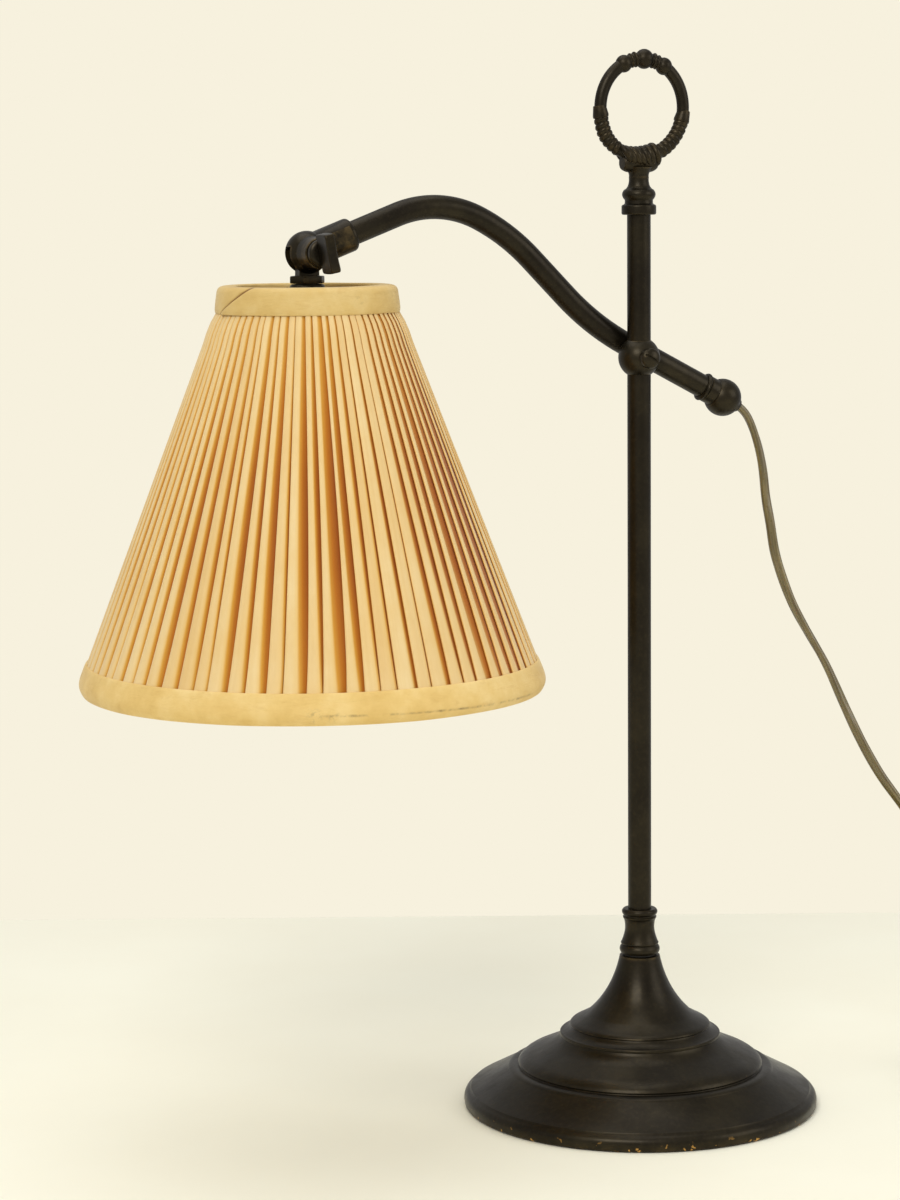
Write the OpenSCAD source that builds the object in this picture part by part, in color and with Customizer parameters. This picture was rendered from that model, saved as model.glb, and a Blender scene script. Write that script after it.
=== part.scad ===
// Pharmacy style desk lamp: a weighted round foot, a turning post with a ring handle, a curved arm that
// slides up and down the post on a clamp ball, and a pleated shade that tilts on a wing screw knuckle.
// Millimetres. The origin is the middle of the foot on the table, +Z is up, the arm's plane is XZ with
// the shade towards -X, and the arm passes behind the post, towards +Y.

/* [Foot] */
// Diameter of the foot at its rim
foot_d = 194.8; // [188:0.2:206]
// Height of the foot, table to the top of the bell
foot_h = 83.6; // [80:0.2:90]
// Wall of the foot casting
foot_wall = 2.4; // [1.8:0.1:3]
// Diameter of the bell at its top
bell_d = 22; // [20:0.2:24]
// Diameter of the bell's lip
lip_d = 77.2; // [72:0.2:82]
// Height of the bell's lip
lip_h = 45.6; // [44:0.2:47]
// Diameter of the fillet below the lip
cove_d = 88.2; // [84:0.2:94]
// Height of the fillet
cove_h = 41; // [39:0.2:42]
// Diameter at the foot of the shoulder
shoulder_d = 134.5; // [130:0.5:139]
// Height of the foot of the shoulder
shoulder_h = 23.8; // [23:0.2:25]
// Diameter of the step below the shoulder
step_d = 146; // [143:0.5:152]
// Height of the step
step_h = 20.9; // [20:0.1:22]
// Thickness of the felt
felt_t = 1.2; // [0.8:0.1:2]
// Thickness of the bottom plate
plate_t = 1; // [0.8:0.1:1.4]
// Diameter of the iron weight
weight_d = 138; // [110:1:140]
// Height of the iron weight
weight_h = 16.5; // [12:0.5:17]

/* [Post] */
// Outer diameter of the post
post_d = 12.7; // [12:0.1:13]
// Wall of the post tube
post_wall = 1.2; // [1:0.1:1.6]
// Length of the post tube
post_len = 403; // [340:1:440]
// Height of the ferrule at the post's foot
ferrule_h = 24.8; // [22:0.2:30]
// Diameter of the ferrule's lower bead
ferrule_d = 22.4; // [21:0.2:24]
// Diameter of the ferrule's waist
waist_d = 16.1; // [15.6:0.1:17]
// Depth of the post tube's seat in the ferrule
ferrule_seat = 13; // [9:0.5:15]
// Thread diameter of the stud that holds the post on the foot
stud_d = 10; // [9:0.5:10.5]

/* [Finial and ring handle] */
// Diameter of the finial's collar and bead
collar_d = 18.6; // [17.6:0.2:20]
// Height of the finial's socket, collar to neck
socket_h = 20; // [19:0.2:23]
// Diameter of the finial's neck
neck_d = 10.6; // [9:0.2:12]
// Diameter of the ring handle, at the middle of its bar
ring_d = 49.2; // [44:0.2:56]
// Diameter of the ring's plain bar
ring_bar_d = 6.6; // [5.6:0.2:7.2]
// Diameter of the ring's roped part
rope_d = 7.8; // [7:0.2:8.2]
// Height of the knot, from the socket to the middle of the ring's bar
knot_h = 12.1; // [11:0.1:14]

/* [Clamp] */
// Height of the clamp ball's middle above the table
clamp_h = 412; // [300:1:440]
// Diameter of the clamp ball
ball_d = 22.4; // [21:0.2:25]
// Gap between the post and the arm that passes it
pass_gap = 0.6; // [0.4:0.1:1.5]
// How far the arm's middle line passes above the ball's middle
arm_over = 5.3; // [4.5:0.1:6]
// Distance from the arm's last bend to the middle of its seat
seat_from_bend = 3.7; // [3:0.1:5]
// Diameter of the saddle that carries the arm
saddle_d = 15; // [13:0.5:16]
// Diameter of the clamp screw's head
clamp_head_d = 10.8; // [9:0.2:12]
// Thread diameter of the clamp screw
clamp_screw_d = 5; // [4:0.5:6]

/* [Arm] */
// Outer diameter of the arm tube
arm_d = 12.7; // [12:0.1:13]
// Wall of the arm tube
arm_wall = 1.2; // [1:0.1:1.5]
// Rise of the arm where it leaves the knuckle, degrees
arm_rise = 20.5; // [18:0.5:23]
// Straight length at the knuckle
arm_head_len = 54; // [46:0.5:62]
// Radius of the top bend
bend_1_r = 59; // [54:0.5:64]
// Turn of the top bend, degrees
bend_1_turn = 47; // [45:0.5:49]
// Radius of the easing bend after it
bend_2_r = 115; // [100:1:125]
// Turn of the easing bend, degrees
bend_2_turn = 18.5; // [17:0.5:20]
// Straight length between the bends
arm_mid_len = 29; // [24:0.5:34]
// Radius of the lower bend
bend_3_r = 149; // [135:1:160]
// Turn of the lower bend, degrees
bend_3_turn = 17.5; // [16:0.5:19]
// Straight length from the lower bend to the middle of the end knob
arm_tail_len = 66.5; // [56:0.5:76]
// Diameter of the end knob
knob_d = 20.6; // [19:0.2:24]

/* [Knuckle] */
// Diameter of the knuckle ball
knuckle_d = 22.6; // [22:0.2:25]
// Thickness of the tongue in the knuckle's slot
tongue_t = 6.4; // [5:0.2:7]
// Width of the tongue
tongue_w = 11; // [10:0.2:12]
// Diameter of the arm's socket at the knuckle
knuckle_socket_d = 17.8; // [16.6:0.2:19]
// Length of the arm's socket, from the middle of the knuckle
knuckle_socket_len = 27; // [24:0.5:32]
// Diameter of the wing screw's shank
wing_shank_d = 5; // [4:0.2:5.6]
// Diameter of the wing screw's boss
wing_boss_d = 14.8; // [13:0.2:16]
// Width of the wing screw's grip
wing_w = 20.6; // [17:0.2:24]

/* [Shade and stack] */
// Diameter of the stem below the knuckle
stem_d = 13; // [12:0.2:14]
// Distance from the middle of the knuckle down to the shade's rim
shade_drop = 16.7; // [16.5:0.1:20]
// Height of the shade
shade_h = 211.3; // [196:0.5:224]
// Diameter of the cover at the shade's top rim
shade_top_d = 86.2; // [82:0.2:92]
// Diameter of the cover at the shade's bottom rim
shade_bottom_d = 248; // [232:1:256]
// Number of knife pleats
pleat_count = 76; // [60:2:84]
// Depth of the pleats
pleat_depth = 1.4; // [1:0.1:1.8]
// Thickness of the pleated cover under its folds
cover_t = 0.7; // [0.5:0.1:1]
// Diameter of the shade's ring wires
ring_wire_d = 2.6; // [2:0.1:3]
// Diameter of the shade's upright wires
rib_wire_d = 2.2; // [1.8:0.1:2.5]
// Thickness of the lining
lining_t = 0.6; // [0.5:0.1:1]
// Height of the top band
top_band_h = 14; // [12:0.5:18]
// Height of the bottom band
bottom_band_h = 16; // [13:0.5:20]

/* [Lampholder and bulb] */
// Thread diameter of the nipple
nipple_d = 10; // [9:0.5:10]
// Diameter of the lampholder's skirt
holder_d = 38; // [36:0.5:42]
// Length of the lampholder
holder_h = 55; // [50:0.5:60]
// Diameter of the bulb's screw cap
bulb_cap_d = 26.4; // [26:0.1:26.8]
// Diameter of the bulb's globe
bulb_d = 60; // [50:1:66]
// Length of the bulb, tip of the cap to the end of the globe
bulb_len = 104; // [96:1:112]

/* [Cord and plug] */
// Width of the cord
cord_d = 5.4; // [5:0.1:6]
// Radius of the coil at the middle of its turns
coil_r = 30; // [28:0.5:32]
// Turns of the coil that lie side by side
coil_wide = 3; // [3:1:3]
// Layers of the coil
coil_layers = 3; // [2:1:3]
// Width of the plug body
plug_w = 35.3; // [33:0.1:37]
// Thickness of the plug body
plug_t = 13.7; // [12.5:0.1:14.5]
// Length of the plug body
plug_len = 36; // [32:0.5:40]
// Diameter of a plug pin
pin_d = 4; // [3.8:0.1:4.8]
// Length of a plug pin
pin_len = 19; // [17:0.5:20]
// Distance between the plug pins
pin_pitch = 18.6; // [17.5:0.1:19]

/* [Hidden] */
$fn = 64;

run_fit = 0.08;      // radial clearance of a running fit
slip = 0.3;          // clearance between pieces that pass each other
snug = 0.05;         // radial clearance of a fixed joint
steps = 8;           // points along a drawn curve
bronze = [0.20, 0.17, 0.13];
brass = [0.70, 0.56, 0.30];
steel = [0.62, 0.62, 0.60];

// A quadratic curve from a to b that leans towards c
function curve(a, c, b, n = steps) =
    [for (i = [0 : n]) let (t = i / n) a * (1 - t) * (1 - t) + c * 2 * t * (1 - t) + b * t * t];
function reversed(list) = [for (i = [len(list) - 1 : -1 : 0]) list[i]];
function unit(v) = v / norm(v);

// A tube along +Z
module pipe(h, outer, inner) {
    difference() {
        cylinder(h = h, r = outer);
        translate([0, 0, -1]) cylinder(h = h + 2, r = inner);
    }
}

// Foot

weight_z = felt_t + plate_t;
stud_r = stud_d / 2;
bush_r = stud_r + 2;
shell_top_t = 4;
flange_t = 1.6;
flange_z = foot_h - shell_top_t - flange_t;
rim_drop = 0.4;      // the rim hangs this far above the table

// Outline of the foot from its top down to the rim, moved in by the given inset
function foot_outline(inset) = let (
    bell_r = bell_d / 2, lip_r = lip_d / 2, cove_r = cove_d / 2,
    shoulder_r = shoulder_d / 2, step_r = step_d / 2, rim_r = foot_d / 2,
    drop = inset * 0.8)
    [for (p = concat(
        curve([bell_r, foot_h], [bell_r + 4.3, lip_h + 17.4], [lip_r - 9.1, lip_h + 5.2], 2 * steps),
        curve([lip_r - 3.1, lip_h + 2], [lip_r - 0.4, lip_h + 0.8], [lip_r, lip_h - 0.4], 3),
        [[lip_r - 0.3, lip_h - 0.9]],
        curve([lip_r - 0.4, lip_h - 1.1], [lip_r + 0.6, cove_h + 1.4], [cove_r - 1.1, cove_h], 4),
        curve([cove_r - 0.6, cove_h], [cove_r + 0.1, cove_h - 0.2], [cove_r, cove_h - 1.4], 3),
        curve([cove_r - 0.1, cove_h - 1.8], [cove_r + 1.1, cove_h - 4.8], [cove_r + 6.9, cove_h - 7.6], 5),
        curve([shoulder_r - 6.7, shoulder_h + 5.4], [shoulder_r - 1, shoulder_h + 3], [shoulder_r, shoulder_h], 5),
        [[shoulder_r - 0.3, shoulder_h - 0.8]],
        curve([shoulder_r, shoulder_h - 1.2], [step_r - 1.2, step_h + 1.9], [step_r, step_h], 4),
        [[step_r + 0.3, step_h - 0.4], [rim_r - 5.9, 10.8], [rim_r - 4, 9.8]],
        curve([rim_r - 3.2, 8.6], [rim_r, 7], [rim_r - 0.1, 3.6], 4),
        [[rim_r - 0.4, 1.2]]))
        [p[0] - inset, p[1] - drop]];

module base_shell() {
    outer = foot_outline(0);
    inner = [for (p = foot_outline(foot_wall)) if (p[1] < foot_h - shell_top_t && p[1] > 1) p];
    rim = outer[len(outer) - 1][0];
    color(bronze) rotate_extrude($fn = 128) polygon(concat(
        [[bush_r, foot_h - shell_top_t], [bush_r, foot_h]], outer,
        [[rim - 1, rim_drop], [rim - foot_wall, rim_drop]],
        reversed(inner), [[bell_d / 2 - foot_wall * 0.6, foot_h - shell_top_t]]));
}

module base_bush() {
    color(brass) translate([0, 0, flange_z]) difference() {
        union() {
            cylinder(h = flange_t, r = bush_r + 0.9);
            cylinder(h = flange_t + shell_top_t - 0.2, r = bush_r - snug);
        }
        translate([0, 0, -1]) cylinder(h = flange_t + shell_top_t + 2, r = stud_r + run_fit);
    }
}

nut_recess_h = 10;
nut_recess_r = 12.5;
hub_r = 14;
hub_h = 14;
pillar_r = 8;        // the weight's pillar carries the bush and with it the shell
plate_screw_r = 45;
plate_screw_d = 4;
plate_screw_len = 8;

module base_weight() {
    color([0.25, 0.25, 0.26]) translate([0, 0, weight_z]) difference() {
        union() {
            cylinder(h = weight_h - 3, r = weight_d / 2);
            translate([0, 0, weight_h - 3]) cylinder(h = 3, r1 = weight_d / 2, r2 = weight_d / 2 - 3);
            cylinder(h = weight_h + hub_h, r = hub_r);
            cylinder(h = flange_z - weight_z, r = pillar_r);
        }
        translate([0, 0, -1]) cylinder(h = foot_h, r = stud_r + slip);
        translate([0, 0, -1]) cylinder(h = nut_recess_h + 1, r = nut_recess_r);
        for (a = [0 : 120 : 240]) rotate(a) translate([plate_screw_r, 0, -1])
            cylinder(h = plate_screw_len, r = plate_screw_d / 2 + snug, $fn = 32);
    }
}

plate_d = foot_d - 2 * foot_wall - 1.4;

module base_plate() {
    color(steel) translate([0, 0, felt_t]) difference() {
        cylinder(h = plate_t, r = plate_d / 2);
        for (a = [0 : 120 : 240]) rotate(a) translate([plate_screw_r, 0, -1])
            cylinder(h = plate_t + 2, r = plate_screw_d / 2 + snug, $fn = 32);
    }
}

module base_screws() {
    head_r = 3.6;
    color(steel) for (a = [0 : 120 : 240]) rotate(a) translate([plate_screw_r, 0, felt_t]) {
        translate([0, 0, -felt_t * 0.7]) cylinder(h = felt_t * 0.7, r = head_r, $fn = 32);
        cylinder(h = plate_t + plate_screw_len - 2, r = plate_screw_d / 2, $fn = 32);
    }
}

module base_felt() {
    color([0.12, 0.20, 0.14]) difference() {
        cylinder(h = felt_t, r = plate_d / 2 - 1);
        for (a = [0 : 120 : 240]) rotate(a) translate([plate_screw_r, 0, -1])
            cylinder(h = felt_t + 2, r = 4, $fn = 32);
    }
}

// Post

neck_washer_t = 1;
ferrule_z = foot_h + slip + neck_washer_t;
post_r = post_d / 2;
post_z = ferrule_z + ferrule_h - ferrule_seat;
post_top = post_z + post_len;
stud_washer_t = 1;
stud_nut_t = 5.4;
stud_nut_af = 17;
stud_top = post_z - 1;
stud_foot = weight_z + 1;

module neck_washer() {
    color([0.1, 0.09, 0.08]) translate([0, 0, foot_h + slip])
        pipe(neck_washer_t, bell_d / 2 - 1.5, stud_r + snug);
}

module neck_ferrule() {
    low = ferrule_d / 2;
    waist = waist_d / 2;
    top = low - 1.4;
    seat_r = post_r + snug;
    color(bronze) translate([0, 0, ferrule_z]) rotate_extrude($fn = 96) polygon(concat(
        [[stud_r + snug, ferrule_h - ferrule_seat], [stud_r + snug, 0]],
        curve([low - 1, 0], [low + 0.7, 2.2], [low - 1, 4.4], 6),
        curve([low - 1.4, 4.9], [low - 0.4, 5.7], [low - 1.2, 6.4], 3),
        curve([low - 1.3, 6.6], [waist, ferrule_h * 0.45], [waist, ferrule_h * 0.58], 6),
        curve([waist, ferrule_h * 0.62], [waist + 0.2, ferrule_h - 6], [top - 0.6, ferrule_h - 5], 6),
        [[top - 0.6, ferrule_h - 4.4], [top - 1.1, ferrule_h - 4.1], [top - 1.1, ferrule_h - 3.5]],
        curve([top - 0.7, ferrule_h - 3.3], [top + 0.8, ferrule_h - 1.4], [top - 1, ferrule_h], 5),
        [[seat_r, ferrule_h], [seat_r, ferrule_h - ferrule_seat]]));
}

module post_stud() {
    color(steel) translate([0, 0, stud_foot]) pipe(stud_top - stud_foot, stud_r, stud_r - 2);
}

stud_washer_z = weight_z + nut_recess_h - slip - stud_washer_t;

module stud_washer() {
    color(steel) translate([0, 0, stud_washer_z]) pipe(stud_washer_t, 10.5, stud_r + snug);
}

module stud_nut() {
    color(steel) translate([0, 0, stud_washer_z - stud_nut_t]) difference() {
        cylinder(h = stud_nut_t, r = stud_nut_af / sqrt(3), $fn = 6);
        translate([0, 0, -1]) cylinder(h = stud_nut_t + 2, r = stud_r + snug);
    }
}

module post_tube() {
    color(bronze) translate([0, 0, post_z]) pipe(post_len, post_r, post_r - post_wall);
}

// Finial and ring handle

socket_seat = 11.5;
socket_z = post_top - socket_seat;
knot_z = socket_z + socket_h;
ring_r = ring_d / 2;
ring_bar_r = ring_bar_d / 2;
rope_r = rope_d / 2;
ring_z = knot_z + knot_h + ring_r;

module finial_socket() {
    c = collar_d / 2;
    n = neck_d / 2;
    seat_r = post_r + snug;
    color(bronze) translate([0, 0, socket_z]) rotate_extrude($fn = 96) polygon(concat(
        [[0, socket_seat], [seat_r, socket_seat], [seat_r, 0]],
        curve([c - 0.9, 0], [c, 0.1], [c, 1.2], 3),
        curve([c, 4.2], [c, 5.3], [c - 1, 5.4], 3),
        [[c - 1.7, 6], [c - 1.8, 7.6]],
        curve([c - 1.6, 8], [c + 0.9, 10.8], [c - 1.5, 13.4], 6),
        curve([c - 2, 13.6], [n, 15], [n, socket_h - 1], 6),
        [[n + 0.1, socket_h], [0, socket_h]]));
}

// The ring's middle at the origin, a piece of its bar at the given angle from the top
module on_ring(a) {
    translate([0, 0, ring_z]) rotate([0, a, 0]) translate([0, 0, ring_r]) rotate([0, 90, 0]) children();
}

knot_half = 6.3;     // from the knot's middle to the centre of its end rounding
knot_wraps = 7;
wrap_pitch = 3;
wrap_lean = 22;      // the wraps lean over by this angle
wrap_r = rope_r + 1.4;

module finial_knot() {
    bar_z = ring_z - ring_r;
    color(bronze) difference() {
        union() {
            hull() {
                translate([0, 0, knot_z]) cylinder(h = 0.5, r = neck_d / 2, $fn = 24);
                for (x = [-knot_half, knot_half]) translate([x, 0, bar_z - 2.2])
                    sphere(r = 5.6, $fn = 24);
            }
            for (i = [0 : knot_wraps - 1]) let (x = (i - (knot_wraps - 1) / 2) * wrap_pitch)
                translate([x, 0, ring_z - sqrt(ring_r * ring_r - x * x) - 0.4])
                    rotate([0, 90 - wrap_lean + x, 0])
                        rotate_extrude($fn = 32) translate([wrap_r, 0]) circle(r = 1.3, $fn = 16);
        }
        translate([0, 0, ring_z]) rotate([90, 0, 0])
            rotate_extrude($fn = 64) translate([ring_r, 0]) circle(r = rope_r + 0.1, $fn = 16);
    }
}

rope_start = 105;    // degrees from the ring's top to the start of its roped part
rope_sides = 12;
rope_rings = 56;

// One point of the roped part: two strands that turn round each other along the ring
function rope_point(i, j) = let (
    a = rope_start + (360 - 2 * rope_start) * i / rope_rings,
    b = 360 * j / rope_sides,
    swell = min(1, i / 3, (rope_rings - i) / 3),
    r = ring_bar_r - 0.1 + (rope_r - ring_bar_r + 0.1) * swell * (0.6 + 0.4 * cos(2 * b - a * 16)),
    out = ring_r + r * cos(b))
    [out * sin(a), r * sin(b), ring_z + out * cos(a)];

module ring_handle() {
    color(bronze) {
        translate([0, 0, ring_z]) rotate([90, 0, 0]) rotate([0, 0, 90 - rope_start])
            rotate_extrude(angle = 2 * rope_start, $fn = 96) translate([ring_r, 0])
                circle(r = ring_bar_r, $fn = 32);
        polyhedron(
            points = [for (i = [0 : rope_rings]) for (j = [0 : rope_sides - 1]) rope_point(i, j)],
            faces = tube_faces(rope_rings + 1, rope_sides));
        on_ring(0) sphere(r = 5.1, $fn = 32);
        for (s = [-1, 1]) {
            on_ring(s * 13) rotate_extrude($fn = 32) translate([ring_bar_r - 0.4, 0])
                circle(r = 1.1, $fn = 16);
            on_ring(s * 19) rotate_extrude($fn = 32) translate([ring_bar_r - 0.6, 0])
                circle(r = 1, $fn = 16);
            on_ring(s * 29) sphere(r = 4.5, $fn = 32);
        }
    }
}

// Faces of a closed tube of n rings with m points each
function tube_faces(n, m) = concat(
    [[for (j = [m - 1 : -1 : 0]) j]],
    [for (i = [0 : n - 2]) for (j = [0 : m - 1]) let (k = (j + 1) % m)
        [i * m + j, i * m + k, (i + 1) * m + k, (i + 1) * m + j]],
    [[for (j = [0 : m - 1]) (n - 1) * m + j]]);

// Arm route: each stretch is [length, 0] for a straight or [radius, turn] for a bend

arm_r = arm_d / 2;
side_y = post_r + arm_r + pass_gap;
arm_route = [[arm_head_len, 0], [bend_1_r, -bend_1_turn], [bend_2_r, -bend_2_turn],
             [arm_mid_len, 0], [bend_3_r, bend_3_turn], [arm_tail_len, 0]];
tail_part = len(arm_route) - 1;
tail_angle = arm_rise - bend_1_turn - bend_2_turn + bend_3_turn;

function heading(a) = [cos(a), sin(a)];
function left_of(a) = [-sin(a), cos(a)];
function angle_at(i) = i == 0 ? arm_rise : angle_at(i - 1) + arm_route[i - 1][1];
function on_bend(p, a, radius, turn, share) =
    p + sign(turn) * radius * (left_of(a) - left_of(a + turn * share));
function step_end(p, a, part) =
    part[1] == 0 ? p + part[0] * heading(a) : on_bend(p, a, part[0], part[1], 1);
function route_at(i) = i == 0 ? [0, 0] : step_end(route_at(i - 1), angle_at(i - 1), arm_route[i - 1]);

// The seat on the tail fixes the arm to the clamp; the knuckle's place follows from it
tail_start = [0, clamp_h] + arm_over * left_of(tail_angle) - seat_from_bend * heading(tail_angle);
knuckle = tail_start - route_at(tail_part);
knuckle_x = knuckle[0];
knuckle_z = knuckle[1];

// Stations [point, heading] along the route, trimmed by the given lengths at its two ends
function stations(head_trim, tail_trim) = concat(
    [[knuckle + head_trim * heading(arm_rise), arm_rise]],
    [for (i = [0 : tail_part]) let (part = arm_route[i], n = ceil(abs(part[1]) / 4.5))
        for (k = [i > 0 && arm_route[i - 1][1] != 0 ? 1 : 0 : n]) if (part[1] != 0)
            [knuckle + on_bend(route_at(i), angle_at(i), part[0], part[1], k / n),
             angle_at(i) + part[1] * k / n]],
    [[tail_start + (arm_tail_len - tail_trim) * heading(tail_angle), tail_angle]]);

// A rod of radius r along the arm's route
module arm_rod(r, head_trim, tail_trim, sides) {
    path = stations(head_trim, tail_trim);
    points = [for (q = path) for (j = [0 : sides - 1]) let (
        across = q[0] + r * cos(360 * j / sides) * left_of(q[1]))
        [across[0], side_y + r * sin(360 * j / sides), across[1]]];
    polyhedron(points = points, faces = tube_faces(len(path), sides));
}

// Frame on the tail: the middle of the end knob at the origin, +Z out along the arm
module at_knob() {
    end = tail_start + arm_tail_len * heading(tail_angle);
    translate([end[0], side_y, end[1]]) rotate([0, 90 - tail_angle, 0]) children();
}

// Frame at the knuckle, +Z out along the arm's first stretch
module at_knuckle_socket() {
    translate([knuckle_x, side_y, knuckle_z]) rotate([0, 90 - arm_rise, 0]) children();
}

// Clamp

clamp_face = 10.4;    // from the ball's middle to the flat that the clamp screw's head faces
saddle = seat_from_bend * heading(tail_angle) + tail_start;

// The parts are turned about their own axes so that no two seams meet
module clamp_ball() {
    color(bronze) difference() {
        union() {
            translate([0, 0, clamp_h]) rotate(45) sphere(r = ball_d / 2, $fn = 96);
            translate([saddle[0], 4, saddle[1]]) rotate([-90, 0, 0]) rotate(30)
                cylinder(h = side_y - 4.8, r = saddle_d / 2);
        }
        translate([0, 0, clamp_h - ball_d]) rotate(20) cylinder(h = 2 * ball_d, r = post_r + run_fit);
        at_knob() translate([0, 0, -arm_tail_len]) rotate(25) cylinder(h = arm_tail_len, r = arm_r + snug);
        at_knob() translate([0, 0, -arm_tail_len - 8]) rotate(65) cylinder(h = 9, r = arm_r + slip);
        translate([0, -clamp_face, clamp_h]) rotate([90, 0, 0])
            cylinder(h = ball_d, r = clamp_head_d / 2 + slip);
        translate([0, -2, clamp_h]) rotate([90, 0, 0]) rotate(50)
            cylinder(h = ball_d, r = clamp_screw_d / 2 + run_fit);
    }
}

clamp_slot_angle = 32;

module clamp_screw() {
    head_h = 6;
    dome_r = clamp_head_d * 0.62;
    color(bronze) translate([0, -clamp_face - slip, clamp_h]) rotate([90, 0, 0]) difference() {
        union() {
            intersection() {
                cylinder(h = head_h, r = clamp_head_d / 2);
                translate([0, 0, head_h - dome_r]) sphere(r = dome_r, $fn = 64);
            }
            translate([0, 0, -(clamp_face - post_r)]) cylinder(h = clamp_face - post_r + 1, r = clamp_screw_d / 2);
        }
        rotate(-clamp_slot_angle) translate([0, 0, head_h]) cube([2 * clamp_head_d, 1.4, 3], center = true);
    }
}

// Arm and its rear end

tube_head_trim = 14;
tube_tail_trim = 9;
bead_from_knob = 13.4;
knob_cut = 6.5;      // from the knob's middle to its flat face

module arm_tube() {
    color(bronze) difference() {
        arm_rod(arm_r, tube_head_trim, tube_tail_trim, 32);
        arm_rod(arm_r - arm_wall, tube_head_trim - 1, tube_tail_trim - 1, 16);
    }
}

module arm_bead() {
    color(bronze) at_knob() translate([0, 0, -bead_from_knob]) rotate_extrude($fn = 96) polygon(concat(
        [[arm_r + snug, 1.4], [arm_r + snug, -1.2]],
        curve([arm_r + 0.5, -1.2], [arm_r + 2.6, 0], [arm_r + 0.6, 1.4], 6)));
}

module arm_end_knob() {
    k = knob_d / 2;
    neck = sqrt(k * k - knob_cut * knob_cut) - 0.7;
    face = bead_from_knob - 1.4;
    color(bronze) at_knob() difference() {
        union() {
            intersection() {
                sphere(r = k, $fn = 96);
                translate([0, 0, -knob_cut]) cylinder(h = 2 * k, r = k + 1);
            }
            translate([0, 0, -face]) cylinder(h = face - knob_cut + 1, r = neck);
        }
        translate([0, 0, -face - 1]) cylinder(h = face + 1.2 - tube_tail_trim, r = arm_r + snug);
        translate([0, 0, -face]) cylinder(h = face + k, r = bushing_r + snug);
    }
}

bushing_r = cord_d / 2 + 1;
bushing_end = knob_d / 2 + 0.6;

lead_d = 4.4;
bushing_cap = 2;     // thickness of the bushing's closed end, where the free cord starts

module cord_bushing() {
    len = 8;
    color([0.12, 0.11, 0.1]) at_knob() translate([0, 0, bushing_end - len]) difference() {
        cylinder(h = len, r = bushing_r);
        translate([0, 0, -1]) cylinder(h = len + 1 - bushing_cap, r = lead_d / 2 + snug);
    }
}

module inner_lead() {
    color([0.45, 0.40, 0.22]) arm_rod(lead_d / 2, tube_head_trim + 1, bushing_cap + 0.2 - bushing_end, 8);
}

// Knuckle

slot_t = tongue_t + 2 * slip;
tilt_in = -12;       // the head's tilt towards the post
tilt_out = 75;       // and away from it
spot_face = 10.4;    // from the pivot to the flat that the wing screw faces
eye_r = tongue_w / 2;

// The space that the tongue sweeps between its two limits, as [x, z] about the pivot
function sweep_outline(w, reach) = let (
    inward = w * [cos(tilt_in), -sin(tilt_in)],
    outward = w * [-cos(tilt_out), sin(tilt_out)])
    concat([for (i = [0 : 12]) let (a = -tilt_in + (180 - tilt_out + tilt_in) * i / 12) w * [cos(a), sin(a)]],
           [outward + reach * [-sin(tilt_out), -cos(tilt_out)], inward + reach * [-sin(tilt_in), -cos(tilt_in)]]);

module knuckle_fork() {
    k = knuckle_d / 2;
    color(bronze) difference() {
        union() {
            translate([knuckle_x, side_y, knuckle_z]) rotate(40) sphere(r = k, $fn = 96);
            at_knuckle_socket() rotate(25) rotate_extrude($fn = 96) polygon(concat(
                [[0, 4], [knuckle_socket_d / 2, 4]],
                curve([knuckle_socket_d / 2, knuckle_socket_len - 2.4],
                      [knuckle_socket_d / 2, knuckle_socket_len - 0.2],
                      [knuckle_socket_d / 2 - 2, knuckle_socket_len], 4),
                [[0, knuckle_socket_len]]));
        }
        at_knuckle_socket() translate([0, 0, tube_head_trim]) rotate(50)
            cylinder(h = knuckle_socket_len, r = arm_r + snug);
        translate([knuckle_x, side_y, knuckle_z]) {
            rotate([90, 0, 0]) linear_extrude(height = slot_t, center = true)
                polygon(sweep_outline(eye_r + slip, 2 * k));
            rotate([90, 0, 0]) rotate(70) cylinder(h = 3 * k, r = wing_shank_d / 2 + run_fit, center = true);
            translate([0, -spot_face, 0]) rotate([90, 0, 0]) rotate(35)
                cylinder(h = k, r = wing_boss_d / 2 + slip);
        }
        at_knuckle_socket() translate([0, 0, eye_r]) rotate(10) cylinder(h = tube_head_trim, r = lead_d / 2 + slip);
    }
}

wing_washer_t = 0.8;
wing_lean = 11;

module wing_washer() {
    color(steel) translate([knuckle_x, side_y - spot_face, knuckle_z]) rotate([90, 0, 0])
        pipe(wing_washer_t, wing_shank_d / 2 + 2.6, wing_shank_d / 2 + run_fit);
}

module wing_screw() {
    boss_h = 4;
    grip_h = 8.4;
    grip_t = 4;
    back = spot_face + wing_washer_t + slip;
    color(bronze) translate([knuckle_x, side_y - back, knuckle_z]) rotate([90, 0, 0]) {
        cylinder(h = boss_h, r = wing_boss_d / 2);
        translate([0, 0, -back - knuckle_d / 2 + 1]) cylinder(h = back + knuckle_d / 2, r = wing_shank_d / 2);
        rotate([0, 0, wing_lean]) translate([-grip_t / 2, 0, boss_h]) rotate([90, 0, 90])
            linear_extrude(height = grip_t) union() {
                translate([-wing_w / 2, 0]) square([wing_w, grip_h - 2.5]);
                translate([-wing_w / 2 + 2.5, 0]) square([wing_w - 5, grip_h]);
                for (s = [-1, 1]) translate([s * (wing_w / 2 - 2.5), grip_h - 2.5]) circle(r = 2.5, $fn = 32);
            }
    }
}

// Frame on the head: the shade's axis, z = 0 at the middle of the knuckle
module at_head() {
    translate([knuckle_x, side_y, knuckle_z]) children();
}

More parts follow.
